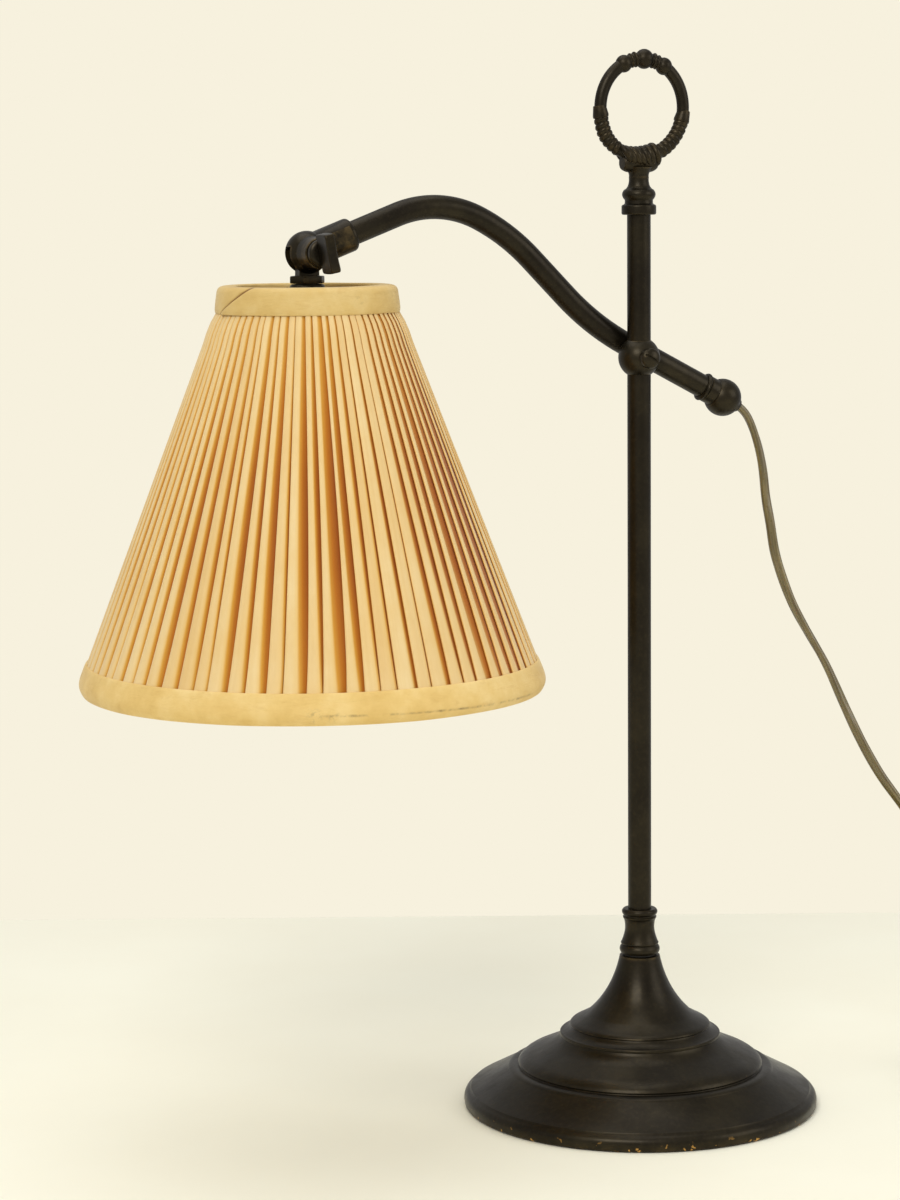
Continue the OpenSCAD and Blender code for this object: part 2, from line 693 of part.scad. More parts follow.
locknut_t = 3.8;
locknut_af = 16.6;
stem_top = knuckle_d / 2 + slip;
nipple_r = nipple_d / 2;
locknut_top = stem_top + 0.4;
stem_foot = locknut_top + locknut_t + 0.4;
hub_t = 1.5;
hub_z = shade_drop + 2;             // top of the spider's hub, below the knuckle
nipple_top = stem_top + 1.6;

module knuckle_tongue() {
    color(bronze) at_head() difference() {
        union() {
            rotate([90, 0, 0]) cylinder(h = tongue_t, r = eye_r, center = true);
            translate([-tongue_w / 2, -tongue_t / 2, -stem_top - 0.5]) cube([tongue_w, tongue_t, stem_top + 0.5]);
            translate([0, 0, -stem_foot]) cylinder(h = stem_foot - stem_top, r = stem_d / 2 - 0.4);
            translate([0, 0, -locknut_top]) cylinder(h = locknut_top - stem_top, r = stem_d / 2);
        }
        rotate([90, 0, 0]) cylinder(h = 2 * tongue_t, r = wing_shank_d / 2 + run_fit, center = true);
        translate([0, 0, -stem_foot - 1]) cylinder(h = stem_foot - nipple_top + 1, r = nipple_r + snug);
        translate([0, 0, -stem_foot - 1]) cylinder(h = stem_foot - 6, r = 1.6);
    }
}

module stem_locknut() {
    color(bronze) at_head() translate([0, 0, -locknut_top - locknut_t]) difference() {
        cylinder(h = locknut_t, r = locknut_af / sqrt(3), $fn = 6);
        translate([0, 0, -1]) cylinder(h = locknut_t + 2, r = stem_d / 2 - 0.4 + snug);
    }
}

module shade_nut() {
    top = stem_foot;
    h = hub_z - top;
    color(bronze) at_head() translate([0, 0, -hub_z]) rotate_extrude($fn = 96) polygon(concat(
        [[nipple_r + snug, 0]],
        curve([9.3, 0], [9.5, 1.4], [8.6, h - 0.4], 4), [[7.6, h], [nipple_r + snug, h]]));
}

nipple_len = 15.2;
nipple_wall = 1.6;

module nipple() {
    color(steel) at_head() translate([0, 0, -nipple_top - nipple_len]) pipe(nipple_len, nipple_r, nipple_r - nipple_wall);
}

// Shade: z runs down from the knuckle, so heights inside the shade are negative

shade_slope = (shade_bottom_d - shade_top_d) / 2 / shade_h;
rim_z = -shade_drop;
hem_z = rim_z - shade_h;
function cover_r(z) = shade_top_d / 2 + (rim_z - z) * shade_slope;

fold_t = pleat_depth + cover_t;
wire_gap = 0.15;
ring_in = fold_t + wire_gap + ring_wire_d / 2;         // from the cover's face to the wires' middle
lining_in = ring_in + ring_wire_d / 2 + wire_gap;      // from the cover's face to the lining
top_wire_z = rim_z - 3.4;
bottom_wire_z = hem_z + 8;
cover_top_z = rim_z - 1.6;                             // the cover and lining end inside the bands
cover_foot_z = hem_z + 5.4;

rod_r = 1.5;

module shade_spider() {
    color(brass) at_head() {
        translate([0, 0, -hub_z - hub_t]) pipe(hub_t, 11.5, nipple_r + snug);
        hub_rods(rod_r);
    }
}

// The rods from the hub's edge out to the top ring
module hub_rods(r) {
    from = [11, -hub_z - hub_t / 2];
    to = [cover_r(top_wire_z) - ring_in - ring_wire_d / 2, top_wire_z];
    run = to - from;
    for (a = [30 : 120 : 270]) rotate(a) translate([from[0], 0, from[1]])
        rotate([0, 90 - atan2(run[1], run[0]), 0]) cylinder(h = norm(run), r = r, $fn = 24);
}

ribs = 6;

module shade_frame() {
    color(steel) at_head() {
        for (z = [top_wire_z, bottom_wire_z]) translate([0, 0, z])
            rotate_extrude($fn = 96) translate([cover_r(z) - ring_in, 0]) circle(r = ring_wire_d / 2, $fn = 24);
        for (i = [0 : ribs - 1]) rotate(i * 360 / ribs) rib();
    }
}

// An upright wire between the two rings
module rib() {
    from = [cover_r(top_wire_z) - ring_in, top_wire_z];
    to = [cover_r(bottom_wire_z) - ring_in, bottom_wire_z];
    run = to - from;
    translate([from[0], 0, from[1]]) rotate([0, 90 - atan2(run[1], run[0]), 0])
        cylinder(h = norm(run), r = rib_wire_d / 2, $fn = 24);
}

module shade_lining() {
    top = cover_r(cover_top_z) - lining_in;
    foot = cover_r(cover_foot_z) - lining_in;
    color([0.93, 0.85, 0.66]) at_head() difference() {
        rotate_extrude($fn = 96) polygon([
            [top, cover_top_z], [foot, cover_foot_z], [foot - lining_t, cover_foot_z], [top - lining_t, cover_top_z]]);
        hub_rods(rod_r + snug);
    }
}

// Outline of one pleat as [share of the pitch, share of the depth]: a flat strip that folds back under
pleat_shape = [[0.02, 0.62], [0.16, 0.08], [0.76, 0], [0.80, 1]];
pleat_points = len(pleat_shape);

function pleat_ring(z, inner) = [for (i = [0 : pleat_count - 1]) for (p = pleat_shape)
    let (a = 360 * (i + p[0]) / pleat_count,
         r = cover_r(z) - (inner ? fold_t : p[1] * pleat_depth))
    [r * cos(a), r * sin(a), z]];

module shade_pleats() {
    m = pleat_count * pleat_points;
    points = concat(pleat_ring(cover_top_z, false), pleat_ring(cover_foot_z, false),
                    pleat_ring(cover_foot_z, true), pleat_ring(cover_top_z, true));
    faces = [for (k = [0 : 3]) for (j = [0 : m - 1]) let (n = (k + 1) % 4, i = (j + 1) % m)
        for (half = [0, 1]) half == 0 ? [k * m + j, n * m + i, n * m + j] : [k * m + j, k * m + i, n * m + i]];
    color([0.93, 0.80, 0.55]) at_head() polyhedron(points = points, faces = faces);
}

band_t = 1;
band_lap = 0.15;     // gap between a band and the cover or the lining
band_in = lining_in + lining_t + band_lap;             // from the cover's face to a band's inner leg
top_slot_z = rim_z - 1.2;
hem_slot_z = hem_z + 4.8;

// A band folded over the rim: it hugs the cover outside and the lining inside
module top_trim() {
    foot = rim_z - top_band_h;
    inner_foot = foot + 4;
    color([0.88, 0.74, 0.45]) at_head() difference() {
        rotate_extrude($fn = 96) polygon(concat(
        [[cover_r(foot) + band_lap, foot]],
        curve([cover_r(foot) + 0.5, foot], [cover_r(foot) + 0.9, foot + 0.6], [cover_r(foot + 3) + band_t, foot + 3], 3),
        curve([cover_r(rim_z) + 2.5, rim_z - 2.4], [cover_r(rim_z) + 2.3, rim_z], [cover_r(rim_z), rim_z], 4),
        curve([cover_r(rim_z) - lining_in, rim_z], [cover_r(rim_z) - band_in - band_t, rim_z],
              [cover_r(rim_z - 3) - band_in - band_t, rim_z - 3], 4),
        [[cover_r(inner_foot) - band_in - band_t, inner_foot], [cover_r(inner_foot) - band_in, inner_foot],
         [cover_r(top_slot_z) - band_in, top_slot_z], [cover_r(top_slot_z) + band_lap, top_slot_z]]));
        hub_rods(rod_r + snug);
    }
}

module bottom_trim() {
    top = hem_z + bottom_band_h;
    inner_top = top - 5;
    color([0.88, 0.74, 0.45]) at_head() rotate_extrude($fn = 128) polygon(concat(
        [[cover_r(hem_slot_z) + band_lap, hem_slot_z], [cover_r(top) + band_lap, top]],
        curve([cover_r(top) + 0.5, top], [cover_r(top) + 1.3, top - 0.6], [cover_r(top - 3) + band_t, top - 3], 3),
        curve([cover_r(hem_z + 7) + band_t - 0.2, hem_z + 7], [cover_r(hem_z + 4) + band_t - 0.4, hem_z + 3.4],
              [cover_r(hem_z) - 3.6, hem_z], 4),
        curve([cover_r(hem_z) - lining_in - 1, hem_z], [cover_r(hem_z) - band_in - band_t, hem_z],
              [cover_r(hem_z + 3) - band_in - band_t, hem_z + 3], 3),
        [[cover_r(inner_top) - band_in - band_t, inner_top], [cover_r(inner_top) - band_in, inner_top],
         [cover_r(hem_slot_z) - band_in, hem_slot_z]]));
}

// Lampholder and bulb, hung below the spider's hub

holder_z = -hub_z - hub_t;
holder_wall = 0.9;
cap_h = 20;
skirt_lap = 5;
cap_r = holder_d / 2 - holder_wall - snug;
key_drop = cap_h - 7; // from the holder's top down to its key
key_shaft_r = 1.5;
key_z = holder_z - key_drop;

module at_holder() {
    at_head() translate([0, 0, holder_z]) children();
}

module holder_cap() {
    w = holder_wall;
    outer = concat(curve([8, 0], [cap_r - 4, -1.5], [cap_r, -11], 6), [[cap_r, -cap_h]]);
    inner = [for (p = reversed(outer)) [p[0] - w, p[1] - (p[1] > -cap_h ? w : 0)]];
    color(brass) at_holder() difference() {
        rotate_extrude($fn = 96) polygon(concat(
            [[nipple_r + snug, -w * 2], [nipple_r + snug, 0]], outer, inner, [[6.6, -w], [6.6, -w * 2]]));
        translate([0, 0, key_z - holder_z]) rotate([90, 0, 0]) cylinder(h = holder_d, r = key_shaft_r + run_fit, $fn = 32);
    }
}

module holder_skirt() {
    r = holder_d / 2;
    top = -cap_h + skirt_lap;
    color(brass) at_holder() rotate_extrude($fn = 96) polygon([
        [r - holder_wall, top], [r, top], [r, -holder_h + 2], [r + 1, -holder_h + 1],
        [r + 0.6, -holder_h], [r - holder_wall, -holder_h]]);
}

core_z = -cap_h - 0.5;
core_h = 10;
shell_r = bulb_cap_d / 2 + slip;

module holder_core() {
    color([0.92, 0.90, 0.85]) at_holder() translate([0, 0, core_z - core_h]) difference() {
        union() {
            cylinder(h = core_h, r = cap_r - 1);
            cylinder(h = core_h + 12, r = 6);
        }
        translate([0, 0, -1]) cylinder(h = core_h + 14, r = 1.8);
        translate([0, 0, core_h - core_z - key_drop]) rotate([90, 0, 0]) rotate(40)
            cylinder(h = holder_d, r = key_shaft_r + run_fit, $fn = 32);
    }
}

module holder_shell() {
    color(brass) at_holder() translate([0, 0, -holder_h + 3]) pipe(holder_h - 3 + core_z - core_h, shell_r + 0.7, shell_r);
}

bulb_tip = core_z - core_h - 2.6;

module centre_contact() {
    color(brass) at_holder() translate([0, 0, core_z - core_h]) {
        translate([0, 0, -0.6]) cylinder(h = 0.6, r = 7);
        translate([0, 0, -2.4]) cylinder(h = 1.8, r = 3.2, $fn = 32);
    }
}

module switch_key() {
    key_r = holder_d / 2 + 9;
    color(bronze) at_head() translate([0, 0, key_z]) rotate([90, 0, 0]) {
        translate([0, 0, 3]) cylinder(h = key_r - 3, r = key_shaft_r, $fn = 32);
        translate([0, 0, holder_d / 2 + 2]) cylinder(h = 3, r = 3, $fn = 32);
        translate([0, 0, key_r - 3]) linear_extrude(height = 2.4) union() {
            square([10, 4], center = true);
            for (x = [-5, 5]) translate([x, 0]) circle(r = 3.2, $fn = 32);
        }
    }
}

cap_len = 25;

module bulb_cap() {
    r = bulb_cap_d / 2;
    color([0.78, 0.76, 0.70]) at_holder() translate([0, 0, bulb_tip]) rotate_extrude($fn = 96) polygon(concat(
        [[0, 0], [3.6, 0], [4.6, -1.4], [r - 2.6, -3.4]],
        [for (i = [0 : 8]) [r - (i % 2) * 0.9 - 0.5, -4.4 - i * 1.9]],
        [[r - 0.4, -cap_len], [r - 1.6, -cap_len], [r - 1.6, -cap_len + 4], [0, -cap_len + 4]]));
}

module bulb_glass() {
    neck = bulb_cap_d / 2 - 0.4;
    globe = bulb_d / 2;
    end = bulb_len - cap_len;
    wall = 0.8;
    shape = concat(
        [[neck, 0]], curve([neck, -3], [neck + 1, -14], [globe * 0.8, -end + globe * 1.6], 8),
        [for (a = [37 : -8 : -83]) [globe * cos(a), -end + globe + globe * sin(a)]]);
    inner = [for (p = reversed(shape)) [max(0.01, p[0] - wall), p[1] + (p[1] < -end + globe ? wall * 0.9 : 0)]];
    color([0.96, 0.95, 0.90, 0.6]) at_holder() translate([0, 0, bulb_tip - cap_len]) rotate_extrude($fn = 96)
        polygon(concat(shape, [[0, -end], [0, -end + wall]], inner));
}

module head_lead() {
    color([0.45, 0.40, 0.22]) at_head() translate([0, 0, holder_z - 6])
        cylinder(h = -holder_z + 5 - nipple_top, r = nipple_r - nipple_wall - slip, $fn = 32);
}

// Cord

cord_r = cord_d / 2;
coil_x = 212;
coil_y = -46;
coil_foot = 0.5;
coil_half = cord_d * (coil_wide - 1) / 2 + cord_r;
coil_h = cord_d * coil_layers;
coil_top = coil_foot + coil_h;

// Route of the free cord from the end of the arm to the coil, as a spare stretch hangs
exit_end = tail_start + (arm_tail_len + bushing_end) * heading(tail_angle);
cord_start = exit_end + slip * heading(tail_angle);
cord_lead = exit_end + 3 * heading(tail_angle);
cord_route = [
    [cord_lead[0], side_y, cord_lead[1]], [75, 13, 374.6], [80, 12, 360], [82, 10, 346], [83, 9, 332], [85, 7, 317], [87, 6, 302],
    [91, 4, 287], [96, 1, 272], [103, -3, 257], [112, -8, 239],
    [120, -14, 217], [128, -20, 196], [137, -26, 177], [147, -30, 162], [158, -33, 145],
    [169, -34, 124], [178, -33, 101], [185, -30, 77], [190, -26, 54], [196, -21, 35], [204, -17.5, 24],
    [214, -15.6, 19.5]];
cord_sides = 8;

// A smooth curve through the route's points, n steps to a stretch
function smooth(p, n) = concat(
    [for (i = [0 : len(p) - 2]) for (k = [0 : n - 1]) let (
        a = p[max(0, i - 1)], b = p[i], c = p[i + 1], d = p[min(len(p) - 1, i + 2)], t = k / n)
        0.5 * (2 * b + (c - a) * t + (2 * a - 5 * b + 4 * c - d) * t * t
               + (3 * b - a - 3 * c + d) * t * t * t)],
    [p[len(p) - 1]]);

// A round tube along a path that never runs along Y
module swept_tube(path, r, sides) {
    n = len(path);
    points = [for (i = [0 : n - 1]) let (
        along = unit(path[min(n - 1, i + 1)] - path[max(0, i - 1)]),
        side = unit(cross(along, [0, 1, 0])),
        up = cross(side, along))
        for (j = [0 : sides - 1]) path[i] + r * (cos(360 * j / sides) * side + sin(360 * j / sides) * up)];
    polyhedron(points = points, faces = tube_faces(n, sides));
}

module cord_drop() {
    start = [cord_start[0], side_y, cord_start[1]];
    color([0.43, 0.37, 0.20]) swept_tube(concat([start], smooth(cord_route, 2)), cord_r, cord_sides);
}

module cord_coil() {
    e = 2;
    color([0.43, 0.37, 0.20]) translate([coil_x, coil_y, coil_foot]) rotate_extrude($fn = 96)
        translate([coil_r, 0]) polygon([
            [-coil_half + e, 0], [coil_half - e, 0], [coil_half, e], [coil_half, coil_h - e],
            [coil_half - e, coil_h], [-coil_half + e, coil_h], [-coil_half, coil_h - e], [-coil_half, e]]);
}

tie_w = 6;
tie_t = 0.4;

module cord_tie() {
    wide = 2 * (coil_half + slip);
    high = coil_h + 2 * snug;
    color([0.1, 0.1, 0.1]) translate([coil_x, coil_y - coil_r, coil_foot + coil_h / 2]) difference() {
        cube([tie_w, wide + 2 * tie_t, high + 2 * tie_t], center = true);
        cube([tie_w + 2, wide, high], center = true);
    }
}

// Plug, flat on the table beside the coil, its tail against the coil's outer turn

plug_y = coil_y + coil_r + coil_half - cord_r;
plug_z = plug_t / 2 + 0.1;
tail_len = 26;
tail_x = coil_x + 12;
body_x = tail_x + tail_len;

module plug_body() {
    w = plug_w / 2;
    color([0.13, 0.12, 0.11]) {
        translate([tail_x, plug_y, plug_z]) rotate([0, 90, 0])
            cylinder(h = tail_len + 2, r1 = cord_r + 0.8, r2 = 5.4);
        translate([body_x, plug_y, plug_z - plug_t / 2]) linear_extrude(height = plug_t) union() {
            polygon([[0, -8], [4, -12], [plug_len - 10, -w], [plug_len, -w + 1.5], [plug_len, w - 1.5],
                     [plug_len - 10, w], [4, 12], [0, 8]]);
            for (s = [-1, 1]) translate([plug_len - 10, s * (w - 4)]) circle(r = 4, $fn = 32);
        }
    }
}

module plug_pins() {
    color(brass) for (s = [-1, 1]) translate([body_x + plug_len, plug_y + s * pin_pitch / 2, plug_z])
        rotate([0, 90, 0]) {
            cylinder(h = pin_len - 1.5, r = pin_d / 2);
            translate([0, 0, pin_len - 1.5]) cylinder(h = 1.5, r1 = pin_d / 2, r2 = pin_d / 2 - 1);
        }
}

base_shell();
base_bush();
base_weight();
base_plate();
base_screws();
base_felt();
neck_washer();
neck_ferrule();
post_stud();
stud_washer();
stud_nut();
post_tube();
finial_socket();
finial_knot();
ring_handle();
clamp_ball();
clamp_screw();
arm_tube();
arm_bead();
arm_end_knob();
cord_bushing();
inner_lead();
knuckle_fork();
wing_washer();
wing_screw();
knuckle_tongue();
stem_locknut();
shade_nut();
nipple();
shade_spider();
shade_frame();
shade_lining();
shade_pleats();
top_trim();
bottom_trim();
holder_cap();
holder_skirt();
holder_core();
holder_shell();
centre_contact();
switch_key();
bulb_cap();
bulb_glass();
head_lead();
cord_drop();
cord_coil();
cord_tie();
plug_body();
plug_pins();
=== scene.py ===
import math
import random

import bpy
from mathutils import Matrix, Vector


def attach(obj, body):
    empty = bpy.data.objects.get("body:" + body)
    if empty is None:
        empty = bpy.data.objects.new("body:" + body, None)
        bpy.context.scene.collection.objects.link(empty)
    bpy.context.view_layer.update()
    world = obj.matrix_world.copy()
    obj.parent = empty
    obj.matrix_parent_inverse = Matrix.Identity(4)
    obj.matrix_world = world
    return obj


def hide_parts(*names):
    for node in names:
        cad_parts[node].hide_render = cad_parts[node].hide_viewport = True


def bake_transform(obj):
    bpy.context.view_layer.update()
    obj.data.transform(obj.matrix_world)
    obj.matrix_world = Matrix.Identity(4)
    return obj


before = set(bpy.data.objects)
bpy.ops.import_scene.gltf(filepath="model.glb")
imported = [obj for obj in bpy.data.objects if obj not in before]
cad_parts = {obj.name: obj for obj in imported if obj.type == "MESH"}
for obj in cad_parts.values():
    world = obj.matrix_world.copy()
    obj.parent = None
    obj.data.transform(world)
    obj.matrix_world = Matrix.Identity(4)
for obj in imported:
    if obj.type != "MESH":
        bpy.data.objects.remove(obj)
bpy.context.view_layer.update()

mm = 0.001
turn = 2 * math.pi


# small tools used by every piece

def deselectAll():
    if bpy.context.mode != "OBJECT":
        bpy.ops.object.mode_set(mode="OBJECT")
    bpy.ops.object.select_all(action="DESELECT")


def makeActive(piece):
    deselectAll()
    piece.select_set(True)
    bpy.context.view_layer.objects.active = piece


def placeAt(x, y, z, tiltY=0.0, tiltX=0.0):
    # a place in millimetres, turned first about Y, then about its own X
    return (Matrix.Translation((x, y, z)) @ Matrix.Rotation(math.radians(tiltY), 4, "Y")
            @ Matrix.Rotation(math.radians(tiltX), 4, "X"))


def bow(a, lean, b, count=8):
    # points from a to b on a curve that leans towards a third point
    steps = [i / count for i in range(count + 1)]
    return [tuple(p * (1 - t) ** 2 + 2 * q * t * (1 - t) + r * t * t for p, q, r in zip(a, lean, b))
            for t in steps]


def ballLine(radius, low=-90, high=90, count=24, middle=0.0):
    angles = [math.radians(low + (high - low) * i / count) for i in range(count + 1)]
    return [(max(0.0, radius * math.cos(a)), middle + radius * math.sin(a)) for a in angles]


def drawLine(name, points):
    # a plane is merged to one point, then drawn out along the line
    deselectAll()
    bpy.ops.mesh.primitive_plane_add(size=0.001, location=points[0])
    piece = bpy.context.object
    piece.name = name
    bpy.ops.object.transform_apply(location=True, rotation=True, scale=True)
    bpy.ops.object.mode_set(mode="EDIT")
    bpy.ops.mesh.select_mode(type="VERT")
    bpy.ops.mesh.select_all(action="SELECT")
    bpy.ops.mesh.merge(type="CENTER")
    for a, b in zip(points, points[1:]):
        bpy.ops.mesh.extrude_region_move(TRANSFORM_OT_translate={"value": b - a})
    return piece


def turned(name, outline, place, steps=96, sharp=32):
    # outline is [radius, height] in millimetres, spun about the place's own Z
    piece = drawLine(name, [place @ Vector((r, 0, h)) * mm for r, h in outline])
    bpy.ops.mesh.select_all(action="SELECT")
    bpy.ops.mesh.spin(steps=steps, angle=turn, center=place.translation * mm,
                      axis=place.to_3x3() @ Vector((0, 0, 1)))
    bpy.ops.mesh.select_all(action="SELECT")
    bpy.ops.mesh.remove_doubles(threshold=0.00001)
    bpy.ops.mesh.normals_make_consistent(inside=False)
    bpy.ops.object.mode_set(mode="OBJECT")
    bpy.ops.object.shade_smooth_by_angle(angle=math.radians(sharp))
    return piece


def rod(name, place, radius, low, high, steps=48):
    return turned(name, [(0, low), (radius, low), (radius, high), (0, high)], place, steps)


def cutShape(name, outline, place, depth, sharp=32):
    # a flat outline in the place's XY, filled and pulled out along its Z
    points = [place @ Vector((x, y, 0)) * mm for x, y in outline]
    piece = drawLine(name, points)
    bpy.ops.mesh.select_all(action="SELECT")
    bpy.ops.mesh.edge_face_add()
    bpy.ops.mesh.extrude_region_move(
        TRANSFORM_OT_translate={"value": place.to_3x3() @ Vector((0, 0, depth)) * mm})
    bpy.ops.mesh.select_all(action="SELECT")
    bpy.ops.mesh.normals_make_consistent(inside=False)
    bpy.ops.object.mode_set(mode="OBJECT")
    bpy.ops.object.shade_smooth_by_angle(angle=math.radians(sharp))
    return piece


def bentTube(name, start, radius, stretches, sides=48, capped=True):
    # a ring is pulled along straights [length] and spun round bends [radius, degrees] in the XZ plane
    # start is the first middle point and its heading above +X
    middle, heading = Vector(start[0]), start[1]
    deselectAll()
    bpy.ops.mesh.primitive_circle_add(vertices=sides, radius=radius * mm, location=middle * mm,
                                      rotation=(0, math.radians(90 - heading), 0))
    piece = bpy.context.object
    piece.name = name
    bpy.ops.object.transform_apply(location=True, rotation=True, scale=True)
    bpy.ops.object.mode_set(mode="EDIT")
    if capped:
        bpy.ops.mesh.edge_face_add()
    for stretch in stretches:
        a = math.radians(heading)
        if len(stretch) == 1:
            step = Vector((math.cos(a), 0, math.sin(a))) * stretch[0]
            bpy.ops.mesh.extrude_region_move(TRANSFORM_OT_translate={"value": step * mm})
            middle += step
        else:
            side = 1 if stretch[1] > 0 else -1
            centre = middle + side * stretch[0] * Vector((-math.sin(a), 0, math.cos(a)))
            bpy.ops.mesh.spin(steps=max(3, round(abs(stretch[1]) / 2)), angle=math.radians(abs(stretch[1])),
                              center=centre * mm, axis=(0, side, 0))
            heading += stretch[1]
            a = math.radians(heading)
            middle = centre - side * stretch[0] * Vector((-math.sin(a), 0, math.cos(a)))
    bpy.ops.mesh.select_all(action="SELECT")
    bpy.ops.mesh.remove_doubles(threshold=0.00001)
    bpy.ops.mesh.normals_make_consistent(inside=False)
    bpy.ops.object.mode_set(mode="OBJECT")
    bpy.ops.object.shade_smooth_by_angle(angle=math.radians(35))
    return piece


def cutOut(piece, *cutters, way="DIFFERENCE"):
    for cutter in cutters:
        makeActive(piece)
        bpy.ops.object.modifier_add(type="BOOLEAN")
        cut = piece.modifiers[-1]
        cut.operation, cut.solver, cut.object = way, "EXACT", cutter
        bpy.ops.object.modifier_apply(modifier=cut.name)
        bpy.data.objects.remove(cutter, do_unlink=True)
    return piece


def softenEdges(piece, width, segments=2, angle=32):
    makeActive(piece)
    bpy.ops.object.modifier_add(type="BEVEL")
    edges = piece.modifiers[-1]
    edges.width, edges.segments = width * mm, segments
    edges.limit_method, edges.angle_limit = "ANGLE", math.radians(angle)
    edges.harden_normals = False
    bpy.ops.object.modifier_apply(modifier=edges.name)
    bpy.ops.object.shade_smooth_by_angle(angle=math.radians(40))
    return piece


def joinAll(name, pieces):
    makeActive(pieces[0])
    for other in pieces[1:]:
        other.select_set(True)
    bpy.context.view_layer.objects.active = pieces[0]
    if len(pieces) > 1:
        bpy.ops.object.join()
    pieces[0].name = name
    return pieces[0]


def finishPiece(piece, body, finish, slotName, *nodes):
    makeActive(piece)
    bpy.ops.object.transform_apply(location=True, rotation=True, scale=True)
    piece.data.materials.clear()
    piece.data.materials.append(finish)
    if nodes:
        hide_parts(*nodes)
    if body:
        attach(piece, body)
    return piece


# materials

def linear(*shade):
    # a colour as it is seen, 0 to 255, turned into the shader's scale
    return tuple((c / 12.92 if c <= 0.04045 else ((c + 0.055) / 1.055) ** 2.4)
                 for c in (s / 255 for s in shade)) + (1.0,)


class finishMaker:
    # a material with one main shader, and short ways to add its nodes
    def __init__(self, name, **sockets):
        self.material = bpy.data.materials.new(name)
        self.material.use_nodes = True
        self.tree = self.material.node_tree
        self.tree.nodes.clear()
        self.shader = self.node("ShaderNodeBsdfPrincipled")
        output = self.node("ShaderNodeOutputMaterial")
        self.tree.links.new(self.shader.outputs[0], output.inputs[0])
        self.object = self.node("ShaderNodeTexCoord").outputs["Object"]
        for socket, value in sockets.items():
            self.shader.inputs[socket.replace("_", " ")].default_value = value

    def node(self, kind, **settings):
        made = self.tree.nodes.new(kind)
        for key, value in settings.items():
            setattr(made, key, value)
        return made

    def wire(self, value, socket):
        if isinstance(value, bpy.types.NodeSocket):
            self.tree.links.new(value, socket)
        else:
            socket.default_value = value

    def stretch(self, scale, source=None, rotation=(0, 0, 0), location=(0, 0, 0)):
        mapping = self.node("ShaderNodeMapping")
        self.wire(source or self.object, mapping.inputs["Vector"])
        mapping.inputs["Scale"].default_value = scale
        mapping.inputs["Rotation"].default_value = rotation
        mapping.inputs["Location"].default_value = location
        return mapping.outputs[0]

    def noise(self, scale, detail=4.0, rough=0.55, source=None, distortion=0.0):
        made = self.node("ShaderNodeTexNoise")
        self.wire(source or self.object, made.inputs["Vector"])
        made.inputs["Scale"].default_value = scale
        made.inputs["Detail"].default_value = detail
        made.inputs["Roughness"].default_value = rough
        made.inputs["Distortion"].default_value = distortion
        return made.outputs[0]

    def ramp(self, value, *stops):
        made = self.node("ShaderNodeValToRGB")
        self.wire(value, made.inputs[0])
        bar = made.color_ramp
        while len(bar.elements) < len(stops):
            bar.elements.new(0.5)
        for element, (at, shade) in zip(bar.elements, stops):
            element.position = at
            element.color = shade if isinstance(shade, tuple) else (shade, shade, shade, 1)
        return made.outputs[0]

    def blend(self, share, a, b, kind="MIX"):
        made = self.node("ShaderNodeMix", data_type="RGBA", blend_type=kind)
        self.wire(share, made.inputs[0])
        self.wire(a, made.inputs[6])
        self.wire(b, made.inputs[7])
        return made.outputs[2]

    def sum(self, a, b, operation="ADD"):
        made = self.node("ShaderNodeMath", operation=operation)
        self.wire(a, made.inputs[0])
        self.wire(b, made.inputs[1])
        return made.outputs[0]

    def fit(self, value, low, high, to_low=0.0, to_high=1.0):
        made = self.node("ShaderNodeMapRange")
        self.wire(value, made.inputs[0])
        for i, number in enumerate((low, high, to_low, to_high)):
            made.inputs[i + 1].default_value = number
        return made.outputs[0]

    def waves(self, scale, source, direction="X", kind="SIN"):
        made = self.node("ShaderNodeTexWave", wave_type="BANDS", bands_direction=direction,
                         wave_profile=kind)
        self.wire(source, made.inputs["Vector"])
        made.inputs["Scale"].default_value = scale
        return made.outputs["Fac"]

    def bump(self, height, strength, distance, below=None):
        made = self.node("ShaderNodeBump")
        made.inputs["Strength"].default_value = strength
        made.inputs["Distance"].default_value = distance
        self.wire(height, made.inputs["Height"])
        if below:
            self.wire(below, made.inputs["Normal"])
        return made.outputs[0]

    def near(self, point, radius):
        # 1 close to a point of the piece, fading to 0 at the radius
        away = self.node("ShaderNodeVectorMath", operation="DISTANCE")
        self.wire(self.object, away.inputs[0])
        away.inputs[1].default_value = point
        return self.fit(away.outputs["Value"], 0.0, radius, 1.0, 0.0)

    def set(self, **sockets):
        for socket, value in sockets.items():
            self.wire(value, self.shader.inputs[socket.replace("_", " ")])
        return self.material


